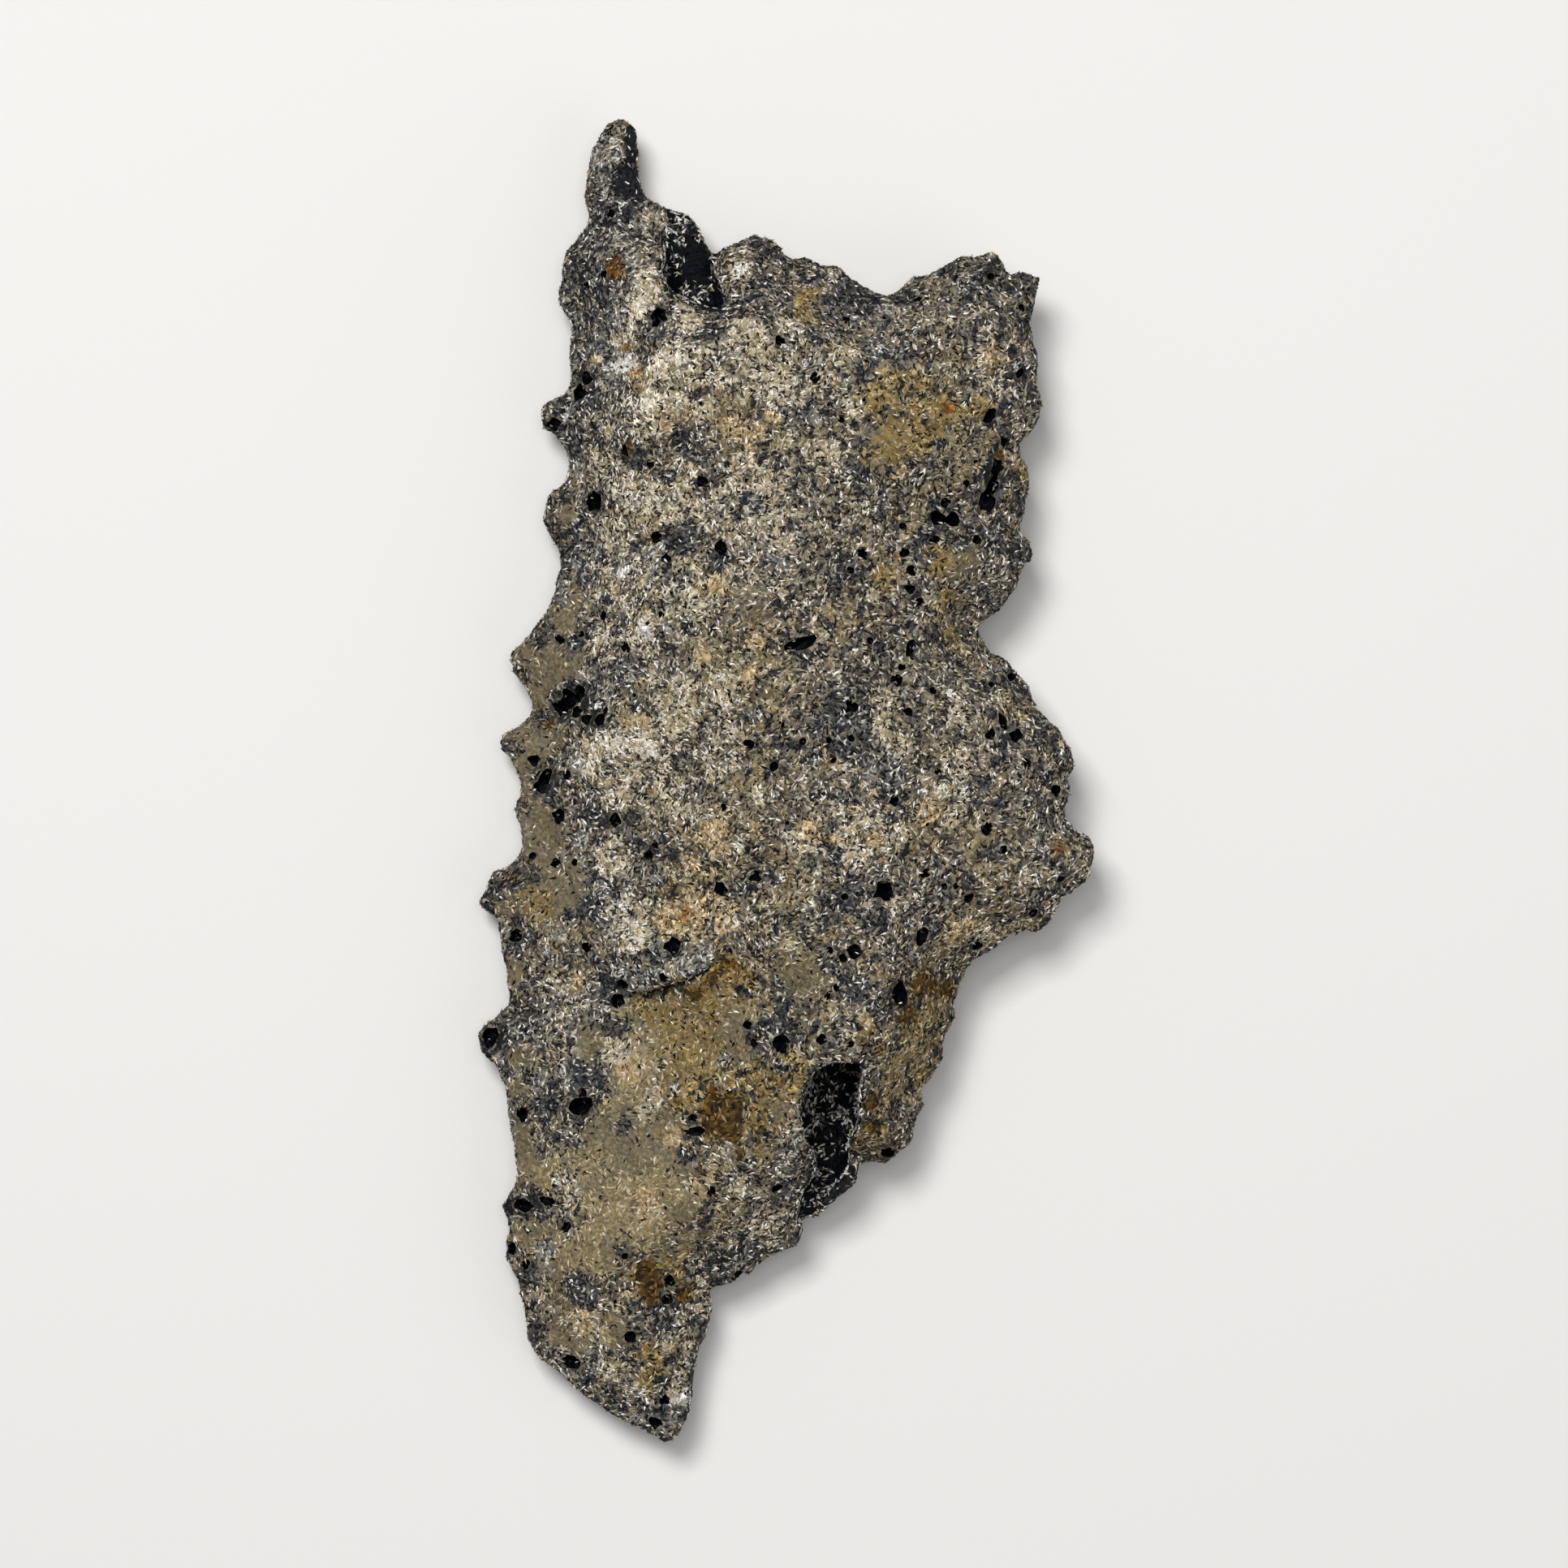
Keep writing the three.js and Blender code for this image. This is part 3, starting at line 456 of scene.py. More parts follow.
            (-15.2, -18.8, 0.6), (-8.2, 35.3, 0.7), (-14.3, -13.7, 0.7), (-13.9, 12, 0.6),
            (-11.6, -35.2, 0.7), (-1.8, 16.6, 0.7), (-10.3, 28, 0.7), (-7.6, -6, 0.6), (-10.4, -11.3, 0.5),
            (-1.9, 3.8, 0.6), (-5, -32.7, 0.5), (-5, -11.3, 0.5), (6.4, 28.7, 0.6), (-10.9, 5.4, 0.6),
            (-13.7, -4.8, 0.5), (-12.8, 1.2, 0.6), (-12.9, 19.1, 0.6), (-7.1, 9.1, 0.5), (15.3, 22.1, 0.5),
            (-10, 12.8, 0.7), (-7.7, -10.6, 0.6), (-5.9, -10.6, 0.5), (-4.6, -10.3, 0.4), (-10, 35, 0.5),
            (-10.8, 24.4, 0.6), (-2.8, -29.7, 0.5), (-10.3, 32.8, 0.5), (-3.7, -17, 0.5),
            (-13.8, -9.4, 0.6), (-6.7, -18.8, 0.4), (-8, 12.8, 0.5), (-13.5, 11, 0.5), (-4, 16.5, 0.5),
        ],
    },
    "hollow": {                     # painted shade in the crevices between the knobs: a dark tint and dark grains
        "tint": (0.045, 0.041, 0.034), "strength": 0.85, "cover": 0.8, "relief": 1.0,
        "share": (0.07, 0.04, 0.11, 0.18, 0.28, 0.32, 0), "strays": None,
        "spots": [],
    },
    "speck": {                      # small dark clots all over
        "tint": (0.022, 0.024, 0.03), "strength": 0.95, "cover": 0.6, "relief": 1.0,
        "share": (0.04, 0.01, 0.04, 0.09, 0.3, 0.52, 0.0), "strays": None,
        "spots": [],
    },
    "chalk": {                      # light crumbs over all of that
        "tint": (0.28, 0.24, 0.155), "strength": 0.9, "cover": 1.0, "relief": 1.0,
        "share": (0.32, 0.4, 0.17, 0.04, 0.02, 0.05, 0), "strays": None,
        "spots": [
            (-6.9, 16.2, 0.6), (14.5, -6, 0.5), (10.3, 3.8, 0.6), (-10.2, 26.8, 0.6), (5.1, -7.7, 0.35),
            (-3.1, 0.9, 0.45), (-0.1, 20.3, 0.6), (4, -4.6, 0.5), (5.4, 11.2, 0.5), (8.8, 11, 0.5),
            (0.6, -9.9, 0.6), (-6.9, -11.5, 0.4), (-3.4, -28.4, 0.5), (-8.3, 17, 0.5), (-5.7, 27.7, 0.5),
            (-3, -8.5, 0.5), (-5, 22.4, 0.5), (-6.5, 22.6, 0.5), (12.3, -9.2, 0.4), (-5.1, -31.1, 0.45),
            (-5.9, -35.2, 0.4), (-10.8, 21.2, 0.4), (-7.9, 29, 0.4), (-0.3, -24, 0.4), (-0.3, 11.3, 0.4),
            (-2.7, -25.1, 0.4), (-1.9, -28, 0.4), (-6.7, -37.8, 0.5), (-5.3, -32.6, 0.35), (2.4, 8.6, 0.4),
            (-2.6, 12.7, 0.4), (-1.5, 15, 0.5), (0, -0.3, 0.4), (-10.8, 14.5, 0.4), (-6.8, 24.8, 0.3),
        ],
    },
    "white": {
        "tint": (0.55, 0.55, 0.54), "strength": 0.9, "cover": 0.9, "relief": 1.0,
        "share": (0.8, 0.06, 0.04, 0, 0, 0.1, 0), "strays": None,
        "spots": [
            (-10.1, 25.3, 0.45), (-10.9, 25.2, 0.25), (-9.4, 25.4, 0.45), (-2.7, 31.1, 0.5),
            (10.1, 5.3, 0.25), (-8.6, 9, 0.4), (-11.5, 4.4, 0.3), (-6.3, -38, 0.55), (-10, 12.7, 0.3),
            (-9.1, -9, 0.22), (-9.9, -7.8, 0.25), (-12.8, 1.1, 0.25),
        ],
    },
    "bareGlassAndGrooveShadow": {                  # where the dark inner glass lies open, and painted shadow in the groove under the ledge
        "tint": (0.006, 0.007, 0.009), "strength": 0.98, "cover": 0.4, "relief": 1.0,
        "share": (0.09, 0.01, 0.01, 0.05, 0.17, 0.67, 0), "strays": None,
        "spots": [
            (-9.35, 40, 0.45), (-9.35, 39.2, 0.55), (-9.3, 38.3, 0.5), (-9.6, 37.3, 0.7),
            (-9.95, 36.4, 0.5), (-9.1, 36.8, 0.4), (-4.45, 29.6, 0.8), (-4.75, 30.8, 0.5),
            (-6.7, 30.5, 0.5), (-7.25, 31.2, 0.4), (-18.2, -16.1, 0.8), (-16.1, -26.3, 0.7),
            (-14.75, -25.9, 0.5), (-17, -26.4, 0.4), (-12.9, 4.2, 0.6), (-11.8, 3.7, 0.5),
            (-9.3, 39.9, 0.45), (-9.05, 37.4, 0.5), (-9.2, 36.6, 0.5), (12.35, 18.9, 0.35), (12.6, 18, 0.4),
            (3.5, -24.9, 0.35), (-15, -0.3, 0.3), (4.1, -24.3, 0.5), (3.4, -25.2, 0.45), (2.5, -26.1, 0.45),
            (1.7, -27.1, 0.4), (-13.7, 4.2, 0.35), (3, -25.4, 0.45), (-14.75, 0, 0.4), (-15, -0.6, 0.35),
            (-5.7, 34.1, 0.6), (-8.7, 36, 0.5), (3.2, -25, 0.5), (-5.1, 29.5, 0.5), (-14.9, -0.3, 0.45),
            (-13.5, 5.1, 0.5), (-12.8, 5.5, 0.5), (-12.7, 4.8, 0.5), (-11.4, 3.9, 0.4),
        ],
    },
    "rust": {
        "tint": (0.115, 0.043, 0.006), "strength": 0.95, "cover": 0.45, "relief": 0.9,
        "share": (0.01, 0.04, 0.2, 0.02, 0.08, 0.25, 0.4), "strays": (2.6 * mm, 0.66),
        "spots": [
            (16.9, -4.2, 0.4), (9.9, 22.6, 0.3), (2.7, 1.3, 0.4), (-10, 0, 0.2), (-8.1, -0.7, 0.2),
            (-10.4, 31.4, 0.6), (-10.4, 31, 0.4),
        ],
    },
    "ember": {                      # small orange ones
        "tint": (0.3, 0.125, 0.025), "strength": 0.95, "cover": 0.5, "relief": 0.9,
        "share": (0.02, 0.2, 0.2, 0.0, 0.02, 0.04, 0.52), "strays": None,
        "spots": [
            (-6.1, -8.3, 0.4), (-9.7, 26.4, 0.25), (-9.3, 24.8, 0.25), (-5.5, 11.7, 0.2),
        ],
    },
    "brown": {
        "tint": (0.055, 0.028, 0.001), "strength": 0.95, "cover": 0.18, "relief": 0.9,
        "share": (0, 0.02, 0.2, 0, 0.08, 0.34, 0.36), "strays": None,
        "spots": [
            # the spots from (-5.4, -12.9) to (-2.9, -11.3), just under the ledge, are partly the brown of the
            # melt there and partly painted shadow under the slab
            (7.4, -14.4, 0.7), (-8.2, -31.4, 0.7), (5.2, -19.6, 0.6), (5.4, -21.2, 0.5), (-9.8, 20.1, 0.4),
            (-6.2, -31.6, 0.6), (-2.7, -22.6, 0.3), (-3.5, -20.8, 1.3), (-4.4, -19.2, 0.6),
            (8.5, -12.6, 0.9), (10.3, -12.8, 0.6), (-8.4, -30.4, 0.7), (13.1, 19.8, 0.4),
            (-14.6, 3.4, 0.35), (-5.4, -12.9, 0.5), (-4.4, -12, 0.45), (-3.6, -11.2, 0.4),
            (-4.1, -20.9, 0.6), (-8.4, -29.8, 0.4), (-10.5, 31.2, 0.3), (-3.2, -19.6, 0.5),
            (-4.4, -21.3, 0.6), (4, -22.1, 0.35), (-2.9, -11.3, 0.3),
        ],
    },
}
layerEdge = {
    "ragged": 0.36,                 # how far a cloud eats into the edge
    "raggedSize": 1.1 * mm,
    "finer": 2.6,                   # a second cloud is finer by this
    "finerShare": 0.7,
    "least": 0.02,                  # a spot is over below this
    "low": 0.12,
    "high": 0.66,
    "strayShow": 0.3,               # share of the strays on the front
    "strayCloud": 7,                # the cloud of the first stain's strays
    "strayRagged": 0.3,
    "straySoft": 0.2,
}

# The marks that follow the form: painted shade in the crevices and on steep sides, dark clots, haloes and
# bare rims round the pits.
shading = {
    "hollowShow": 0.85,
    "hollowSpan": (0.5, 0.9),       # distance from a knob's centre, in cells
    "hollowFill": 0.25,             # how much a lump fills the crevices
    "hollowCalm": 0.8,              # how much smooth melt hides them
    "clotSize": 0.72 * mm,
    "clotFiner": 2.2,
    "clotFinerShare": 0.5,
    "clotClouds": (21, 22),
    "clotCalm": 0.7,                # how much the light stains keep them off
    "clotSpan": (0.3, 0.48),
    "ringFrom": 0.3,                # only pits wider than this have a halo and a bare rim, in mm
    "halo": 1.9,                    # in the pit's radii
    "haloShow": 0.8,
    "haloSpan": (0.3, 0.8),
    "rim": 0.14,                    # mm beyond the pit's edge
    "rimSpan": (0.32, 0.42),
    "steepShadeFrom": 0.82,              # upward share of the normal below which a side counts as steep and gets painted shade
    "steepShadeSoft": 0.5,
    "steepShadeShow": 0.75,
    "steepShadeCalm": 0.6,
}

# The edge of a slab lying over its surroundings: its line in mm, and how it steps down to a groove that is
# painted dark as the slab's shadow.
ledge = {
    "line": [
        (-10.6, -12.2), (-10, -12.7), (-8.4, -12.95), (-6.75, -12.4), (-5.3, -11.8), (-4, -10.9),
        (-3.4, -10.4),
    ],
    "step": 0.12 * mm,
    "rise": 0.42 * mm,
    "reach": 1.8 * mm,
    "grooveAndShadow": 0.2 * mm,
    "grooveShift": 0.6,             # how far out the groove lies, in its width
    "deep": 0.3 * mm,
}


def meltSolid():
    form = bmesh.new()
    form.from_mesh(solid.data)
    bmesh.ops.remove_doubles(form, verts=form.verts, dist=crust["weld"])
    piece = showPiece(crust["name"], meshOf(form, crust["name"]))
    piece.modifiers.new("skin", "REMESH").voxel_size = crust["voxel"]
    level = piece.modifiers.new("level", "SMOOTH")
    level.iterations = crust["levelPasses"]
    level.use_x = level.use_y = False
    piece.modifiers.new("round", "SMOOTH").iterations = crust["roundPasses"]
    applyModifiers(piece)
    return piece


def spotMask(spots, places):
    return sum(
        np.exp(-((places[:, 0] - x * mm) ** 2 + (places[:, 1] - y * mm) ** 2) / (radius * mm) ** 2)
        for x, y, radius in spots
    )


def layerMask(number, layer, places, front):
    edge = layerEdge
    ragged = cloudNoise(places, edge["raggedSize"], number)
    ragged += edge["finerShare"] * cloudNoise(places, edge["raggedSize"] / edge["finer"], number)
    known = spotMask(layer["spots"], places) * front
    eaten = known + edge["ragged"] * ragged * (known > edge["least"])
    shown = smoothStep(eaten, edge["low"], edge["high"])
    if not layer["strays"]:
        return shown
    size, rarity = layer["strays"]
    cloud = cloudNoise(places, size, edge["strayCloud"] + number) + edge["strayRagged"] * ragged
    strays = smoothStep(cloud, rarity, rarity + edge["straySoft"])
    return np.maximum(shown, (1 - front * (1 - edge["strayShow"])) * strays)


def layOver(field, start, masks):
    value = np.full(len(masks["rust"]), float(start))
    for name, layer in stainsAndShade.items():
        value += (layer[field] - value) * masks[name]
    return value


def nearestOnBore(places):
    path = np.array(bore["path"]) * mm
    along = np.linspace(0, len(path) - 1, bore["steps"])
    axis = np.stack([np.interp(along, range(len(path)), path[:, k]) for k in range(3)], axis=1)
    least, nearest = np.full(len(places), np.inf), np.zeros(len(places), int)
    for k, point in enumerate(axis):
        gap = ((places - point) ** 2).sum(axis=1)
        closer = gap < least
        least[closer], nearest[closer] = gap[closer], k
    return axis[nearest]


def depthInside(corners, places):  # how far inside a closed line seen from above, negative outside it
    ends = np.array(corners) * mm
    spot = places[:, :2]
    inside, least = np.zeros(len(places), bool), np.full(len(places), np.inf)
    for start, end in zip(np.roll(ends, 1, axis=0), ends):
        run = end - start
        share = np.clip(((spot - start) @ run) / (run @ run), 0, 1)
        least = np.minimum(least, np.linalg.norm(spot - start - share[:, None] * run, axis=1))
        crosses = (start[1] > spot[:, 1]) != (end[1] > spot[:, 1])
        slope = run[0] / run[1] if run[1] else 0
        inside ^= crosses & (spot[:, 0] < start[0] + slope * (spot[:, 1] - start[1]))
    return np.where(inside, least, -least)


def isLining(places, normals):
    inward = nearestOnBore(places) - places
    far = np.linalg.norm(inward, axis=1)
    facing = (inward * normals).sum(axis=1) > bore["facing"] * far
    lining = (far < bore["reach"]) & facing & (normals[:, 2] < bore["roof"])
    for corners in bore["windows"]:
        lining |= (depthInside(corners, places) > -bore["lip"]) & (normals[:, 2] > bore["sill"])
    return lining


def ledgeMasks(places, front):  # how far the slab stands up, and where the groove under it runs, which is carved and painted as the slab's shadow
    line = np.array(ledge["line"]) * mm
    over = places[:, 1] - np.interp(places[:, 0], line[:, 0], line[:, 1])
    fade = smoothStep(places[:, 0], line[0, 0], line[1, 0])
    fade *= smoothStep(-places[:, 0], -line[-1, 0], -line[-2, 0])
    slab = smoothStep(over, 0, ledge["step"]) * (1 - smoothStep(over, ledge["step"], ledge["reach"]))
    return fade * front * slab, fade * front * np.exp(-(over / ledge["grooveAndShadow"] + ledge["grooveShift"]) ** 2)


def pitRings(places, stretch, beyond):  # spots on the wider pits, larger by a factor and by so many mm
    rings = [(x, y, stretch * math.sqrt(wide * high) + beyond) for x, y, wide, high, turn in roundAndLong()
             if max(wide, high) > shading["ringFrom"]]
    return spotMask(rings, places)


def stainAndShadeMasks(places, normals, front, cells, lumps):
    masks = {name: layerMask(k, layer, places, front) for k, (name, layer) in enumerate(stainsAndShade.items())}
    # painted shade in the crevices between the knobs, less where a lump fills them and on smooth melt
    masks["hollow"] = shading["hollowShow"] * smoothStep(
        cells - shading["hollowFill"] * lumps, *shading["hollowSpan"]) * (
        1 - shading["hollowCalm"] * masks["glaze"])
    wideCloud, fineCloud = shading["clotClouds"]
    clot = cloudNoise(places, shading["clotSize"], wideCloud) + shading["clotFinerShare"] * cloudNoise(
        places, shading["clotSize"] / shading["clotFiner"], fineCloud)
    light = np.maximum.reduce([masks["glaze"], masks["cream"], masks["pale"], masks["peach"]])
    masks["speck"] = smoothStep(clot * (1 - shading["clotCalm"] * light), *shading["clotSpan"])
    halo = smoothStep(pitRings(places, shading["halo"], 0) * front, *shading["haloSpan"])
    masks["slate"] = np.maximum(masks["slate"], shading["haloShow"] * halo)
    # painted shade: front-facing sides are painted darker the steeper they are, less on smooth melt
    paintedSteepShade = smoothStep(shading["steepShadeFrom"] - normals[:, 2], 0, shading["steepShadeSoft"]) * front
    paintedSteepShade *= 1 - shading["steepShadeCalm"] * masks["glaze"]
    masks["steepShade"] = np.maximum(masks["steepShade"], shading["steepShadeShow"] * paintedSteepShade)
    return masks


def sandCover(places, front, lining, masks):
    cover = layOver("cover", crust["cover"], masks)
    cover *= front + crust["underCover"] * (1 - front)
    cover *= 1 - front * smoothStep(pitRings(places, 1, shading["rim"]), *shading["rimSpan"])
    clump = cloudNoise(places, bore["clumpSize"], bore["clumpCloud"]) + spotMask(bore["clumps"], places)
    clump -= bore["bareDepth"] * spotMask(bore["bare"], places)
    clumped = [share * smoothStep(clump, *span) for share, span in zip(bore["cover"], bore["clumped"])]
    isTop = places[:, 1] > 0
    stuck = np.where(isTop, *clumped) * (places[:, 2] > bore["low"])
    return np.where(lining > 0.5, stuck, cover)


def writeShares(mesh, lining, masks):  # running totals of the kinds of grain, to draw a kind from
    reached = np.zeros(len(lining))
    writeMask(mesh, "upTo_none", reached)
    for k, kind in enumerate(grains):
        share = crust["share"][k] + np.zeros(len(lining))
        for name, layer in stainsAndShade.items():
            share += (layer["share"][k] - share) * masks[name]
        reached += np.where(lining > 0.5, bore["share"][k], share)
        writeMask(mesh, "upTo_" + kind, reached)


def roughenCrust(piece):
    mesh = piece.data
    places = readVectors(mesh.vertices, "co")
    normals = readVectors(mesh.vertex_normals, "vector")
    front = smoothStep(normals[:, 2], *crust["frontSpan"])
    lining = isLining(places, normals).astype(float)
    stray = np.stack([cloudNoise(places, crust["straySize"], k) for k in crust["strayClouds"]], axis=1)
    cells = cellNoise(places + crust["knobStray"] * crust["knobSize"] * stray, crust["knobSize"])
    lumps = cloudNoise(places, crust["lumpSize"], crust["lumpCloud"])
    masks = stainAndShadeMasks(places, normals, front, cells, lumps)
    slab, grooveAndShadow = ledgeMasks(places, front)
    # the groove under the ledge takes the dark glass colour as painted shadow under the slab
    masks["bareGlassAndGrooveShadow"] = np.maximum(masks["bareGlassAndGrooveShadow"], grooveAndShadow)
    tooth = cellNoise(places, crust["toothSize"])
    rise = crust["lumpRise"] * lumps + layOver("relief", 1, masks) * (
        crust["knobRise"] * (crust["knobMiddle"] - cells)
        + crust["toothRise"] * (crust["toothMiddle"] - tooth))
    rise *= (1 - crust["liningCalm"] * lining) * (1 - crust["edgeCalm"] * (1 - np.abs(normals[:, 2])))
    rise += ledge["rise"] * slab - ledge["deep"] * grooveAndShadow
    places += normals * rise[:, None]
    places[:, 2] = np.maximum(places[:, 2], 0)
    mesh.vertices.foreach_set("co", places.ravel())
    resting = (places[:, 2] < crust["restHeight"]) & (normals[:, 2] < 0)
    writeMask(mesh, "cover", np.where(resting, 0, sandCover(places, front, lining, masks)))
    writeMask(mesh, "lining", lining)
    for name, values in masks.items():
        writeMask(mesh, name, values)
    writeShares(mesh, lining, masks)
    mesh.update()


def dressCrust(mesh, outside, inside):  # a face is dark glass where more than two of its corners are lining
    mesh.materials.clear()
    mesh.materials.append(outside)
    mesh.materials.append(inside)
    lined = np.empty(len(mesh.vertices), np.float32)
    mesh.attributes["lining"].data.foreach_get("value", lined)
    for face in mesh.polygons:
        face.material_index = int(sum(lined[k] for k in face.vertices) > 2)


# gas pits: x, y and radius of the round ones, and half sizes and turn of the long ones, in mm

pits = {
    "round": [
        (-7.7, 28.1, 0.5), (-12.6, 23.8, 0.45), (-11.7, 17, 0.55), (9.3, 15.9, 0.4), (10.2, 15.9, 0.4),
        (-3.9, 14, 0.35), (4, 4.4, 0.35), (14.1, 2.7, 0.35), (-10.4, -2.5, 0.4), (-13.9, -2.2, 0.44),
        (-3.9, -6.6, 0.4), (6, -6.8, 0.55), (-6.8, -10.1, 0.45), (4.2, -10.4, 0.35), (-16.6, -9.7, 0.35),
        (-9.9, -12.6, 0.35), (-10.2, -13.6, 0.34), (-18.2, -15.8, 0.45), (-0.2, -16, 0.45),
        (-12.5, -20, 0.65), (-16.2, -20.6, 0.4), (-7.1, -30.8, 0.35), (-13.1, -35.9, 0.45),
        (-8, -39.6, 0.35), (-16.9, -29, 0.35), (-10.7, 34.8, 0.25), (-12.2, 30.3, 0.25),
        (-11.1, 30.9, 0.25), (-12.2, 24.7, 0.35), (-0.3, 26.6, 0.25), (1.8, 24.4, 0.25), (3.7, 28.1, 0.25),
        (5, 25.5, 0.15), (3.4, 21.9, 0.2), (14.4, 24.9, 0.25), (9.8, 16.9, 0.25), (-9.8, 20.1, 0.3),
        (-5, 18.1, 0.3), (-11.1, 10, 0.25), (-7.8, 14.7, 0.3), (-9.7, 8.1, 0.3), (-12.5, 8.9, 0.2),
        (-8.2, 19.2, 0.25), (-7.5, 10, 0.2), (-7.2, 13.4, 0.25), (-10.9, 4.2, 0.2), (-2.2, 2.1, 0.25),
        (-0.7, 0.8, 0.25), (-8.5, -1, 0.2), (-3.7, -1.7, 0.2), (-8.3, -4.6, 0.25), (-12.9, -5.1, 0.2),
        (-14.1, -5.1, 0.3), (-15.6, -4.7, 0.2), (-1.8, -5.9, 0.3), (-12.1, -10.3, 0.3), (7.2, 15.4, 0.2),
        (9.1, 14.6, 0.25), (11.7, 14.6, 0.25), (4.7, 13.7, 0.3), (7.3, 13.8, 0.25), (7.7, 12.7, 0.25),
        (7.6, 11.6, 0.25), (8.2, 10.8, 0.25), (5.2, 8.4, 0.2), (6.8, 6, 0.3), (7.1, 6.8, 0.2),
        (13.9, 6.3, 0.25), (9, 5.4, 0.2), (12.6, 5.8, 0.2), (7.5, 4.1, 0.25), (12.5, 2.8, 0.3),
        (2.9, 1.2, 0.2), (2.7, 2.4, 0.2), (14.8, 1, 0.25), (9.3, 0.5, 0.2), (16.6, -0.7, 0.3),
        (6.6, -1.3, 0.25), (12.3, -3, 0.3), (13.3, -4.3, 0.25), (8.5, -5.7, 0.25), (11.2, -7.2, 0.25),
        (16.9, -6.1, 0.3), (9.7, -6.5, 0.2), (10.4, -6.5, 0.2), (15.2, -8.2, 0.25), (11.8, -10.2, 0.25),
        (-7.4, -12.1, 0.25), (-2.3, -14.9, 0.25), (-1.9, -16, 0.25), (2.2, -15.7, 0.25), (4, -16, 0.2),
        (2.6, -13.1, 0.2), (3.1, -12.6, 0.2), (-0.5, -24.9, 0.3), (-4.5, -25.1, 0.25), (-13.4, -27.5, 0.3),
        (-14.4, -26, 0.25), (-7.2, -31.9, 0.3), (-9.4, -34.2, 0.3), (-7.4, -38.2, 0.25), (-9.8, -29.2, 0.2),
        (-16, -29.9, 0.25), (-13.4, 0.3, 0.25), (-15.5, 1.15, 0.3), (13.45, 20.7, 0.28), (11.05, 18, 0.2),
        (12.6, 30.8, 0.22), (10.4, 30.7, 0.22), (1.1, 2.3, 0.2), (2.7, -10.3, 0.22), (3.6, -7.1, 0.2),
        (14.5, 28.9, 0.22), (8.2, 29.4, 0.22), (-0.2, 3.3, 0.2), (4, 2.5, 0.2), (3.5, -10.8, 0.2),
        (-7.9, -4, 0.22), (4, 12.7, 0.22),
    ],
    "long": [
        (0.9, 8.2, 1, 0.36, 25), (-13.8, 4.4, 0.52, 0.5, 0), (-13.2, 4.9, 0.66, 0.6, 42),
        (-12.6, 5.3, 0.5, 0.44, 0), (-12.8, 4.2, 0.45, 0.3, 0), (8.3, -9.5, 0.34, 0.6, 0),
        (-5.4, -21.4, 0.8, 0.26, 10), (-16.1, -26.3, 0.5, 0.34, 0), (-14.3, 21.9, 0.42, 0.35, 0),
        (6.3, -22.9, 0.42, 0.42, 0), (-2.8, -30.6, 0.45, 0.4, 0), (7.6, 8, 0.22, 0.5, -20),
        (13.3, 3.5, 0.2, 0.5, 20), (-13.8, 8.6, 0.5, 0.18, -40), (6.9, -13, 0.5, 0.7, 10),
        (-12.1, 3.7, 0.5, 0.3, 0), (-11.3, 3.6, 0.45, 0.32, 15), (-14.75, -25.9, 0.4, 0.25, 0),
        (-12.4, -19.3, 0.25, 0.45, 10), (-18.2, -16, 0.4, 0.6, 0), (-5.6, -20.6, 0.25, 0.2, 0),
        (-14.6, 0.2, 0.5, 0.55, -25), (-14.9, -0.4, 0.5, 0.55, -25), (12.95, 19, 0.4, 0.6, -16),
        (12.65, 18, 0.44, 0.75, -16), (12.35, 17.1, 0.42, 0.65, -12), (12.5, 22.2, 0.28, 0.5, -30),
    ],
    "seed": 5,
    "fineFrom": 0.3 * mm,           # wider pits have a finer cutter
    "depth": 2.4,                   # how much deeper than wide
    "widen": 1.05,
    "margin": 0.06 * mm,            # more all round, as the crust grains close over a rim
    "skin": 0.02 * mm,
    "through": 0.75,                # share of the wall a pit may take
    "ragged": 0.3,
    "tipped": 0.9,                  # from here on a normal is taken to lie along y
    "upright": 2,                   # weight of straight up against the normal, for these two lists
    "strays": 560,                  # small ones are strewn until there are more pits than this
    "tries": 6,                     # places tried for each
    "strayRadius": (0.08 * mm, 0.20 * mm),
    "strayShrink": 0.6,
    "strayOval": 0.7,               # least share of its length that a pit is wide
    "strayTurn": 6,                 # radians
    "strayGap": 0.5 * mm,
    "strayCover": 0.5,              # they stay off barer crust
    "strayHeight": 0.5 * mm,        # and off the flats it rests on
    "cover": 0.07,
    "share": (0.16, 0.03, 0.02, 0.09, 0.22, 0.48, 0.0),
    "cutter": "pitCutter",
}


def roundAndLong():
    return [(x, y, radius, radius, 0) for x, y, radius in pits["round"]] + pits["long"]


def addPit(form, tree, place, normal, halfSizes, turn, draw):
    fine = 2 if max(halfSizes) > pits["fineFrom"] else 1
    made = bmesh.ops.create_icosphere(form, subdivisions=fine, radius=1)["verts"]
    for vert in made:
        vert.co *= 1 + pits["ragged"] * draw.uniform(-1, 1)
    across = Vector((0, 1, 0)).cross(normal) if abs(normal.y) < pits["tipped"] else Vector((1, 0, 0))
    across.normalize()
    facing = Matrix((across, normal.cross(across).normalized(), normal)).transposed().to_4x4()
    under = tree.ray_cast(place - pits["skin"] * normal, -normal)[3] or 0
    depth = min(pits["depth"] * min(halfSizes), pits["skin"] + pits["through"] * under)
    size = Matrix.Diagonal((*halfSizes, depth, 1))
    spin = Matrix.Rotation(turn, 4, "Z")
    bmesh.ops.transform(form, matrix=Matrix.Translation(place) @ facing @ spin @ size, verts=made)


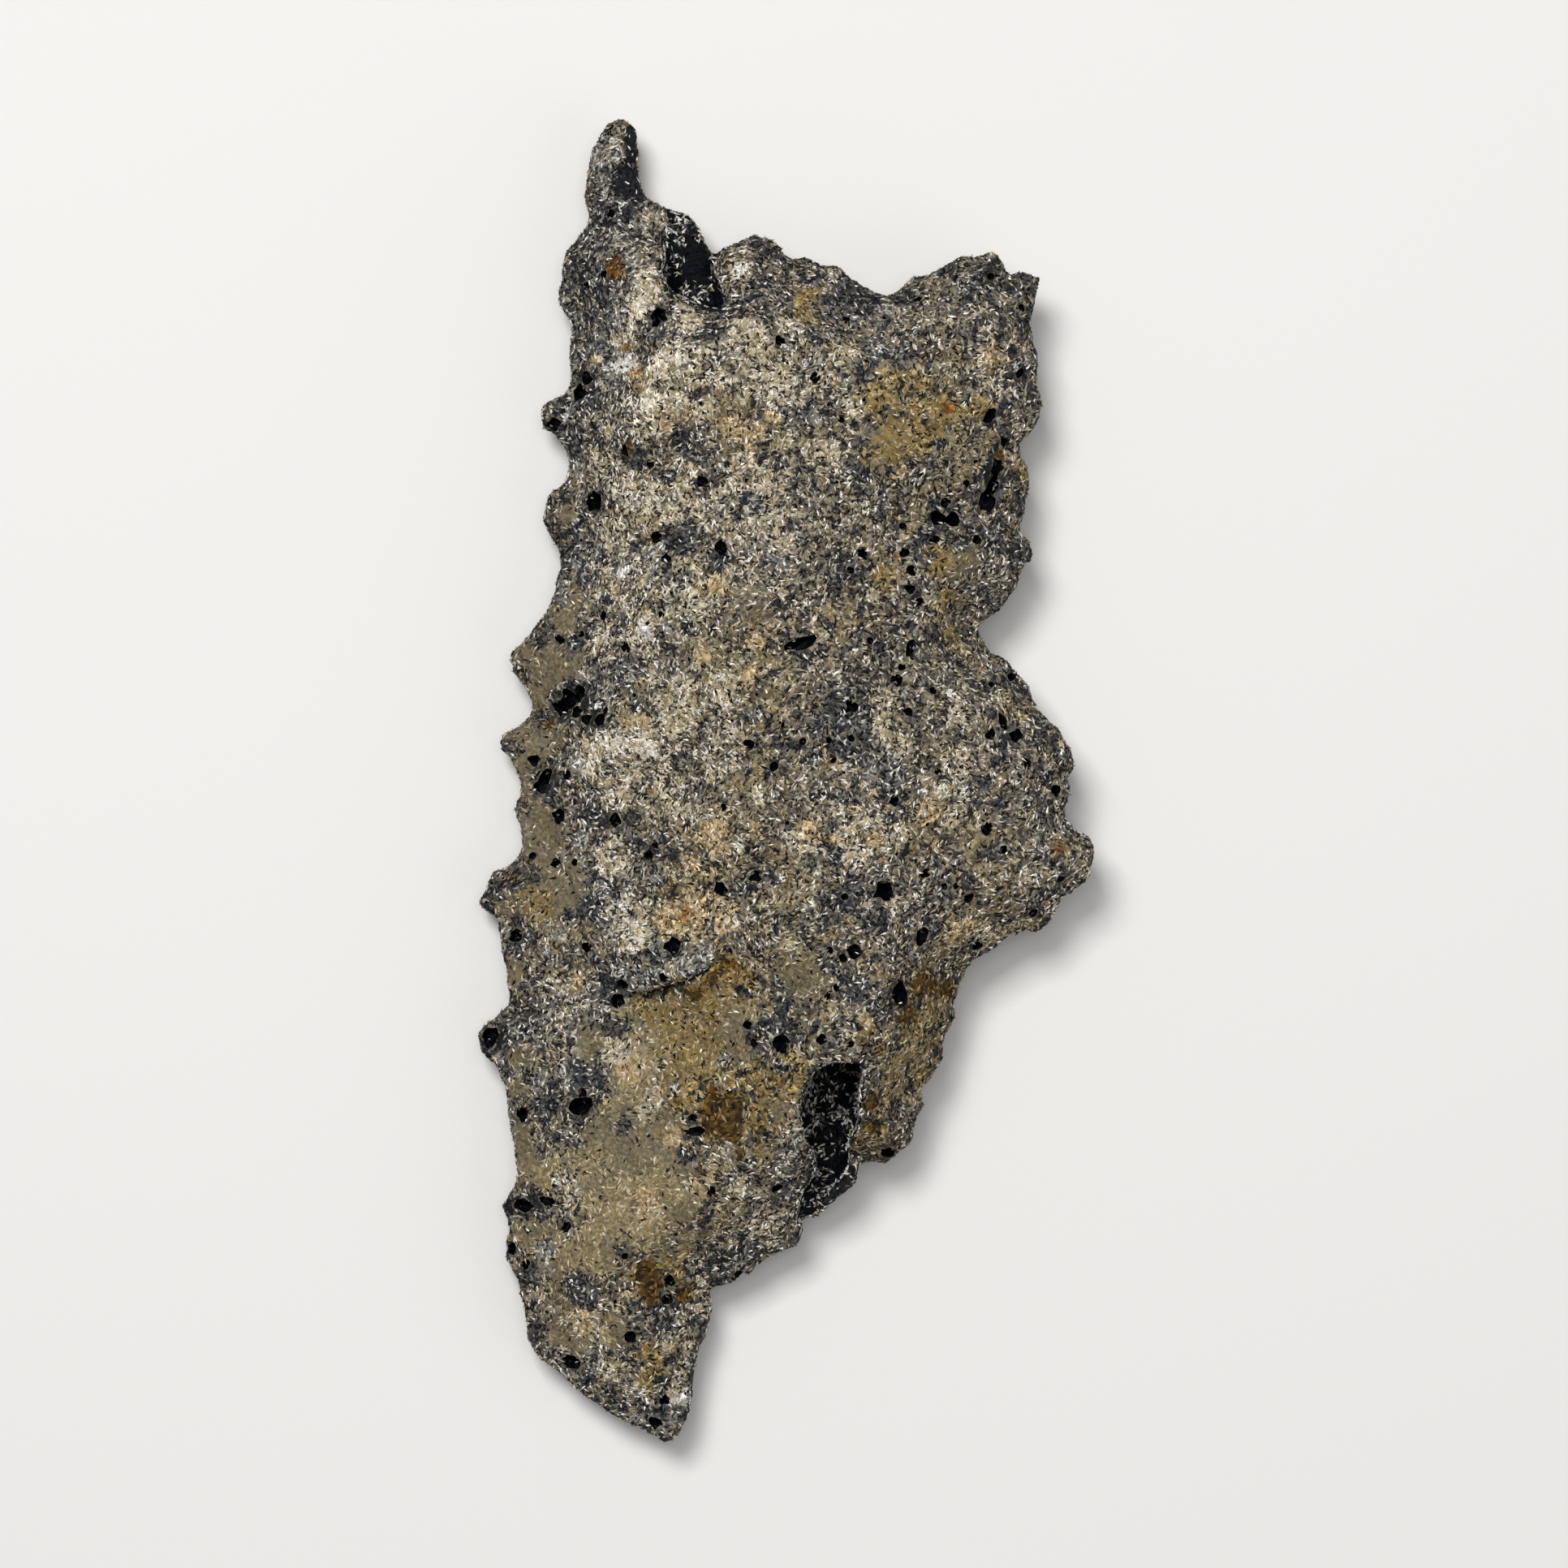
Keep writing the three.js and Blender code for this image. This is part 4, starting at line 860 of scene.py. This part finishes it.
def cutOut(piece, form):
    for face in form.faces:
        face.material_index = 1
    cutter = meshOf(form, pits["cutter"])
    for material in piece.data.materials:
        cutter.materials.append(material)
    reached = np.zeros(len(cutter.vertices))
    writeMask(cutter, "cover", reached + pits["cover"])
    for kind, share in zip(grains, pits["share"]):
        reached += share
        writeMask(cutter, "upTo_" + kind, reached)
    tool = showPiece(pits["cutter"], cutter)
    cut = piece.modifiers.new("pits", "BOOLEAN")
    cut.operation = "DIFFERENCE"
    cut.solver = "MANIFOLD"
    cut.object = tool
    applyModifiers(piece)
    bpy.data.objects.remove(tool)


def cutPits(piece):
    draw = random.Random(pits["seed"])
    tree = BVHTree.FromObject(piece, bpy.context.evaluated_depsgraph_get())
    taken, rounds = [], []          # pits that overlap are cut one round after another
    for x, y, wide, high, turn in roundAndLong():
        place, normal = tree.ray_cast(Vector((x * mm, y * mm, 1)), Vector((0, 0, -1)))[:2]
        if place:
            facing = (normal + Vector((0, 0, pits["upright"]))).normalized()
            halfSizes = [pits["widen"] * half * mm + pits["margin"] for half in (wide, high)]
            reach = (1 + pits["ragged"]) * max(halfSizes)
            free = [forms for forms in rounds
                    if all((place - other).length > reach + far for other, far in forms["pits"])]
            if not free:
                free = [{"form": bmesh.new(), "pits": []}]
                rounds += free
            addPit(free[0]["form"], tree, place, facing, halfSizes, math.radians(turn), draw)
            free[0]["pits"].append((place, reach))
            taken.append((place, max(wide, high) * mm))
    mesh = piece.data
    cover = mesh.attributes["cover"].data
    for vert in draw.sample(list(mesh.vertices), pits["tries"] * pits["strays"]):
        radius = draw.uniform(*pits["strayRadius"]) * draw.uniform(pits["strayShrink"], 1)
        clear = all((vert.co - place).length > radius + reach + pits["strayGap"] for place, reach in taken)
        if clear and cover[vert.index].value > pits["strayCover"] and vert.co.z > pits["strayHeight"]:
            halfSizes = (radius, radius * draw.uniform(pits["strayOval"], 1))
            turn = draw.uniform(0, pits["strayTurn"])
            addPit(rounds[0]["form"], tree, vert.co, vert.normal.copy(), halfSizes, turn, draw)
            taken.append((vert.co.copy(), radius))
        if len(taken) > pits["strays"]:
            break
    for forms in rounds:
        cutOut(piece, forms["form"])
    print("pits cut:", len(taken), "in rounds:", len(rounds))


# the sand still showing as grains, strewn over the crust

sand = {
    "gap": 0.13 * mm,               # least distance between grains
    "crowding": 140 / mm ** 2,
    "least": (1.6, 0.45, 0.45),     # stretch of a grain along, across and upright
    "most": (2.6, 0.78, 0.8),
    "tilt": 0.45,
    "shapes": 4,                    # for each shade
    "draws": 63,                    # a grain draws a number up to this and counts it round the shapes
    "sides": 4,
    "ragged": 0.28,
    "seed": 3,
}

# each kind: its shades and its grain radius in mm
grains = {
    "quartz": {"shades": [(0.62, 0.597, 0.53), (0.465, 0.443, 0.39), (0.85, 0.82, 0.74)],
               "rough": 0.3, "shine": 0.5, "radius": (0.09, 0.13)},
    "cream": {"shades": [(0.46, 0.38, 0.23), (0.36, 0.295, 0.168), (0.57, 0.48, 0.31)],
              "rough": 0.4, "shine": 0.4, "radius": (0.09, 0.13)},
    "tan": {"shades": [(0.21, 0.168, 0.092), (0.152, 0.121, 0.068), (0.28, 0.225, 0.125)],
            "rough": 0.5, "shine": 0.3, "radius": (0.10, 0.14)},
    "grey": {"shades": [(0.162, 0.154, 0.13), (0.113, 0.109, 0.096), (0.246, 0.234, 0.202)],
             "rough": 0.5, "shine": 0.3, "radius": (0.10, 0.14)},
    "slate": {"shades": [(0.045, 0.045, 0.045), (0.03, 0.03, 0.031), (0.07, 0.07, 0.068)],
              "rough": 0.5, "shine": 0.2, "radius": (0.09, 0.13)},
    "black": {"shades": [(0.007, 0.008, 0.010), (0.012, 0.013, 0.016), (0.003, 0.004, 0.005)],
              "rough": 0.6, "shine": 0.1, "radius": (0.09, 0.14)},
    "amber": {"shades": [(0.215, 0.122, 0.033), (0.13, 0.07, 0.017), (0.23, 0.145, 0.05)],
              "rough": 0.4, "shine": 0.4, "radius": (0.09, 0.12)},
}


def makeStrewer():
    tree, given, out = newGroup("strewnSand", "GeometryNodeTree", {
        "Geometry": "Geometry", "Crust": "Object", "Grains": "Collection", "From": "String", "To": "String",
        "Smallest": "Float", "Largest": "Float",
    }, {"Geometry": "Geometry"})

    def readMask(name):
        node = addNode(tree, "GeometryNodeInputNamedAttribute", {"Name": name}, data_type="FLOAT")
        return node.outputs["Attribute"]

    def compare(value, limit, operation):
        values = {"A": value, "B": limit}
        return addNode(tree, "FunctionNodeCompare", values, operation=operation).outputs["Result"]

    def chance(kind, values):
        return addNode(tree, "FunctionNodeRandomValue", values, data_type=kind).outputs

    ground = addNode(tree, "GeometryNodeObjectInfo", {"Object": given["Crust"]}).outputs["Geometry"]
    spread = addNode(tree, "GeometryNodeDistributePointsOnFaces", {
        "Mesh": ground, "Distance Min": sand["gap"], "Density Max": sand["crowding"],
        "Density Factor": readMask("cover"), "Seed": sand["seed"],
    }, distribute_method="POISSON").outputs
    pick = chance("FLOAT", {"Seed": 1})[1]
    above = compare(pick, readMask(given["From"]), "GREATER_EQUAL")
    below = compare(pick, readMask(given["To"]), "LESS_THAN")
    both = reckon(tree, "AND", {0: above, 1: below}, "FunctionNodeBooleanMath")
    turn = chance("FLOAT_VECTOR", {
        "Seed": 2, "Min": (-sand["tilt"], -sand["tilt"], 0), "Max": (sand["tilt"], sand["tilt"], math.tau),
    })["Value"]
    size = chance("FLOAT", {"Seed": 3, 2: given["Smallest"], 3: given["Largest"]})[1]
    stretch = chance("FLOAT_VECTOR", {"Seed": 4, "Min": sand["least"], "Max": sand["most"]})["Value"]
    scale = reckon(tree, "SCALE", {0: stretch, "Scale": size}, "ShaderNodeVectorMath")
    shape = chance("INT", {"Seed": 5, 5: sand["draws"]})[2]
    shapes = addNode(tree, "GeometryNodeCollectionInfo", {
        "Collection": given["Grains"], "Separate Children": True, "Reset Children": True})
    euler = addNode(tree, "FunctionNodeEulerToRotation", {"Euler": turn})
    lying = addNode(tree, "FunctionNodeRotateRotation", {
        "Rotation": spread["Rotation"], "Rotate By": euler.outputs[0]}, rotation_space="LOCAL")
    strewn = addNode(tree, "GeometryNodeInstanceOnPoints", {
        "Points": spread["Points"], "Selection": both, "Instance": shapes.outputs[0],
        "Pick Instance": True, "Instance Index": shape, "Rotation": lying.outputs[0], "Scale": scale})
    real = addNode(tree, "GeometryNodeRealizeInstances", {"Geometry": strewn.outputs[0]})
    fillSockets(tree, out, {"Geometry": real.outputs[0]})
    return tree


def makeGrainShapes(kind, draw):
    grain = grains[kind]
    shapes = bpy.data.collections.new(kind + "Shapes")
    for number in range(sand["shapes"] * len(grain["shades"])):
        form = bmesh.new()
        bmesh.ops.create_uvsphere(form, u_segments=sand["sides"], v_segments=2, radius=1)
        for vert in form.verts:
            vert.co *= 1 + sand["ragged"] * draw.uniform(-1, 1)
            vert.co += sand["ragged"] / 2 * Vector([draw.uniform(-1, 1) for k in range(3)])
        mesh = meshOf(form, kind + "Shape")
        mesh.materials.append(grain["materials"][number % len(grain["shades"])])
        shapes.objects.link(bpy.data.objects.new(f"{kind}Shape{number:02d}", mesh))
    return shapes


def dropHelpers(mesh):
    for name in [mask.name for mask in mesh.attributes if mask.name.startswith(("upTo_", "cover", "lining"))]:
        mesh.attributes.remove(mesh.attributes[name])


def strewGrains(ground, strewer, kind, before):
    grain = grains[kind]
    shapes = makeGrainShapes(kind, random.Random(kind))
    piece = showPiece(kind + "Grains", bpy.data.meshes.new(kind + "Grains"))
    strew = piece.modifiers.new("strew", "NODES")
    strew.node_group = strewer
    values = {
        "Crust": ground, "Grains": shapes, "From": "upTo_" + before, "To": "upTo_" + kind,
        "Smallest": grain["radius"][0] * mm, "Largest": grain["radius"][1] * mm,
    }
    for item in strewer.interface.items_tree:
        if item.in_out == "INPUT" and item.name in values:
            strew[item.identifier] = values[item.name]
    piece.update_tag()
    applyModifiers(piece)
    dropHelpers(piece.data)
    for shape in list(shapes.objects):
        bpy.data.objects.remove(shape)
    bpy.data.collections.remove(shapes)
    print(piece.name, len(piece.data.polygons), "faces")
    return piece


# materials

speckleLook = {
    # how bright the cells are, as a share of the brightest, from the darkest tenth up
    "levels": [(0.0, 0.03), (0.10, 0.09), (0.28, 0.20), (0.5, 0.34), (0.72, 0.46), (0.88, 0.68), (1.0, 1.0)],
    "top": 2.9,
    # the same over smooth melt, where a cloud shows and no cells
    "melt": {"From Min": 0.34, "From Max": 0.66, "To Min": 0.62, "To Max": 1.38},
}
layerSoft = 0.2                     # how gently each layer sets in, stains and painted shade alike
toothLook = {"Detail": 4, "Roughness": 0.6}
crustLook = {
    "cells": 4300,                  # to a metre
    "wander": 0.22 * mm,            # how far the cells are drawn out of shape
    "salting": 0.8,                 # how much a stain breaks up into cells at its edge
    "calm": 0.88,                   # how much of the cells smooth melt hides
    "rough": (0.8, 0.42),           # of bare crust and of glaze
    "shine": 0.2,
    "toothSize": 5000,
    "toothDepth": 0.05 * mm,
}
glassLook = {
    "shades": [(0.3, (0.0015, 0.002, 0.0025)), (0.6, (0.004, 0.005, 0.007)), (0.75, (0.014, 0.016, 0.018))],
    "rough": 0.24,
    "shine": 0.05,
    "toothSize": 2600,
    "toothDepth": 0.25 * mm,
}


def makeSpeckle():
    tree, given, out = newGroup(
        "sandSpeckle", "ShaderNodeTree", {"Cells": "Float", "Wander": "Float", "Calm": "Float"},
        {"Shade": "Float", "Pick": "Float", "Height": "Float"})
    place = addNode(tree, "ShaderNodeTexCoord").outputs["Object"]
    cloud = addNode(tree, "ShaderNodeTexNoise", {
        "Vector": place, "Scale": given["Cells"], "Detail": 1}).outputs
    centred = reckon(tree, "SUBTRACT", {0: cloud["Color"], 1: (0.5, 0.5, 0.5)}, "ShaderNodeVectorMath")
    stray = reckon(tree, "SCALE", {0: centred, "Scale": given["Wander"]}, "ShaderNodeVectorMath")
    moved = reckon(tree, "ADD", {0: place, 1: stray}, "ShaderNodeVectorMath")
    cells = addNode(tree, "ShaderNodeTexVoronoi", {"Vector": moved, "Scale": given["Cells"]}).outputs
    picks = addNode(tree, "ShaderNodeSeparateColor", {"Color": cells["Color"]}).outputs
    shade = rampOf(tree, picks["Red"], [(share, (level,) * 3) for share, level in speckleLook["levels"]])
    level = mapRange(tree, shade, {"To Max": speckleLook["top"]})
    mottled = mapRange(tree, cloud["Fac"], speckleLook["melt"])
    calmed = addNode(tree, "ShaderNodeMix", {"Factor": given["Calm"], "A": level, "B": mottled})
    height = reckon(tree, "SUBTRACT", {0: 1, 1: cells["Distance"]})
    fillSockets(tree, out, {"Shade": calmed.outputs["Result"], "Pick": picks["Green"], "Height": height})
    return tree


def makeStainAndShade():
    tree, given, out = newGroup(
        "mineralStainAndShade", "ShaderNodeTree",
        {"Colour": "Color", "LayerColour": "Color", "Mask": "Float", "Strength": "Float", "Pick": "Float",
         "Salting": "Float"},
        {"Colour": "Color"})
    salted = reckon(tree, "MULTIPLY", {0: given["Pick"], 1: given["Salting"]})
    ahead = reckon(tree, "SUBTRACT", {0: given["Mask"], 1: salted})
    amount = mapRange(tree, ahead, {"From Max": layerSoft, "To Max": given["Strength"]})
    mixed = addNode(tree, "ShaderNodeMix", {
        0: amount, 6: given["Colour"], 7: given["LayerColour"]}, data_type="RGBA")
    fillSockets(tree, out, {"Colour": mixed.outputs[2]})
    return tree


def makeTooth():
    tree, given, out = newGroup(
        "glassTooth", "ShaderNodeTree", {"Size": "Float", "Depth": "Float", "Height": "Float"},
        {"Normal": "Vector", "Cloud": "Float"})
    place = addNode(tree, "ShaderNodeTexCoord").outputs["Object"]
    cloud = addNode(tree, "ShaderNodeTexNoise", {"Vector": place, "Scale": given["Size"], **toothLook})
    height = reckon(tree, "ADD", {0: cloud.outputs["Fac"], 1: given["Height"]})
    bump = addNode(tree, "ShaderNodeBump", {"Height": height, "Distance": given["Depth"]})
    fillSockets(tree, out, {"Normal": bump.outputs["Normal"], "Cloud": cloud.outputs["Fac"]})
    return tree


def paintCrust(speckle, layer, tooth):
    material, tree, shader = newMaterial("fusedSand")
    glaze = addNode(tree, "ShaderNodeAttribute", attribute_name="glaze").outputs["Fac"]
    sprinkle = addNode(tree, "ShaderNodeGroup", {
        "Cells": crustLook["cells"], "Wander": crustLook["wander"],
        "Calm": mapRange(tree, glaze, {"To Max": crustLook["calm"]}),
    }, node_tree=speckle).outputs
    colour = (*crust["tint"], 1)
    for name, look in stainsAndShade.items():
        mask = addNode(tree, "ShaderNodeAttribute", attribute_name=name).outputs["Fac"]
        colour = addNode(tree, "ShaderNodeGroup", {
            "Colour": colour, "LayerColour": (*look["tint"], 1), "Mask": mask, "Strength": look["strength"],
            "Pick": sprinkle["Pick"], "Salting": crustLook["salting"],
        }, node_tree=layer).outputs["Colour"]
    bumps = addNode(tree, "ShaderNodeGroup", {
        "Size": crustLook["toothSize"], "Depth": crustLook["toothDepth"], "Height": sprinkle["Height"],
    }, node_tree=tooth).outputs
    rough, glazed = crustLook["rough"]
    fillSockets(tree, shader, {
        "Base Color": reckon(tree, "SCALE", {0: colour, "Scale": sprinkle["Shade"]}, "ShaderNodeVectorMath"),
        "Roughness": mapRange(tree, glaze, {"To Min": rough, "To Max": glazed}),
        "Specular IOR Level": crustLook["shine"], "Normal": bumps["Normal"],
    })
    return material


def paintGlass(tooth):
    material, tree, shader = newMaterial("darkGlass")
    bumps = addNode(tree, "ShaderNodeGroup", {
        "Size": glassLook["toothSize"], "Depth": glassLook["toothDepth"], "Height": 0,
    }, node_tree=tooth).outputs
    fillSockets(tree, shader, {
        "Base Color": rampOf(tree, bumps["Cloud"], glassLook["shades"]), "Roughness": glassLook["rough"],
        "Specular IOR Level": glassLook["shine"], "Normal": bumps["Normal"],
    })
    return material


def paintGrains():
    for kind, grain in grains.items():
        grain["materials"] = []
        for number, shade in enumerate(grain["shades"]):
            material, tree, shader = newMaterial(f"{kind}Grain{number + 1}")
            fillSockets(tree, shader, {
                "Base Color": (*shade, 1), "Roughness": grain["rough"], "Specular IOR Level": grain["shine"]})
            material.diffuse_color = (*shade, 1)
            grain["materials"].append(material)


# floor and light

studio = {
    "floor": 0.6,
    "floorColour": (0.72, 0.71, 0.69),
    "floorRough": 0.8,
    "surround": 0.17,
    "surroundColour": (0.95, 0.97, 1.0),
    "lamps": {
        "key": {"place": (-0.12, 0.20, 0.52), "size": 0.18, "power": 2.5},
        "fill": {"place": (0.36, -0.20, 0.30), "size": 0.40, "power": 0.4},
        "overhead": {"place": (0.02, 0.05, 0.62), "size": 0.25, "power": 1.1},
    },
}


def lightStudio():
    form = bmesh.new()
    bmesh.ops.create_grid(form, x_segments=1, y_segments=1, size=studio["floor"])
    floor = showPiece("floor", meshOf(form, "floor"))
    material, tree, shader = newMaterial("paleFloor")
    fillSockets(tree, shader, {"Base Color": (*studio["floorColour"], 1), "Roughness": studio["floorRough"]})
    floor.data.materials.append(material)
    for name, lamp in studio["lamps"].items():
        light = bpy.data.lights.new(name, "AREA")
        light.size = lamp["size"]
        light.energy = lamp["power"]
        source = bpy.data.objects.new(name, light)
        source.location = lamp["place"]
        source.rotation_euler = Vector(lamp["place"]).to_track_quat("Z", "Y").to_euler()
        scene.collection.objects.link(source)
    world = bpy.data.worlds.new("surround")
    world.use_nodes = True
    fillSockets(world.node_tree, world.node_tree.nodes["Background"].inputs, {
        "Color": (*studio["surroundColour"], 1), "Strength": studio["surround"]})
    scene.world = world
    scene.view_settings.view_transform = "Standard"


# making

aimCamera()
lightStudio()
print("studio set")

speckle, layer, tooth = makeSpeckle(), makeStainAndShade(), makeTooth()
fusedSand = paintCrust(speckle, layer, tooth)
darkGlass = paintGlass(tooth)
paintGrains()
print("materials made")

body = meltSolid()
print("crust skinned:", len(body.data.vertices), "points")
roughenCrust(body)
dressCrust(body.data, fusedSand, darkGlass)
print("crust roughened and stained")
cutPits(body)
print(body.name, sum(len(face.vertices) - 2 for face in body.data.polygons), "triangles")

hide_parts("fulgurite")
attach(body, "root")

strewer = makeStrewer()
before = "none"
for kind in grains:
    strewn = strewGrains(body, strewer, kind, before)
    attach(strewn, "root")
    before = kind
dropHelpers(body.data)
print("sand strewn")
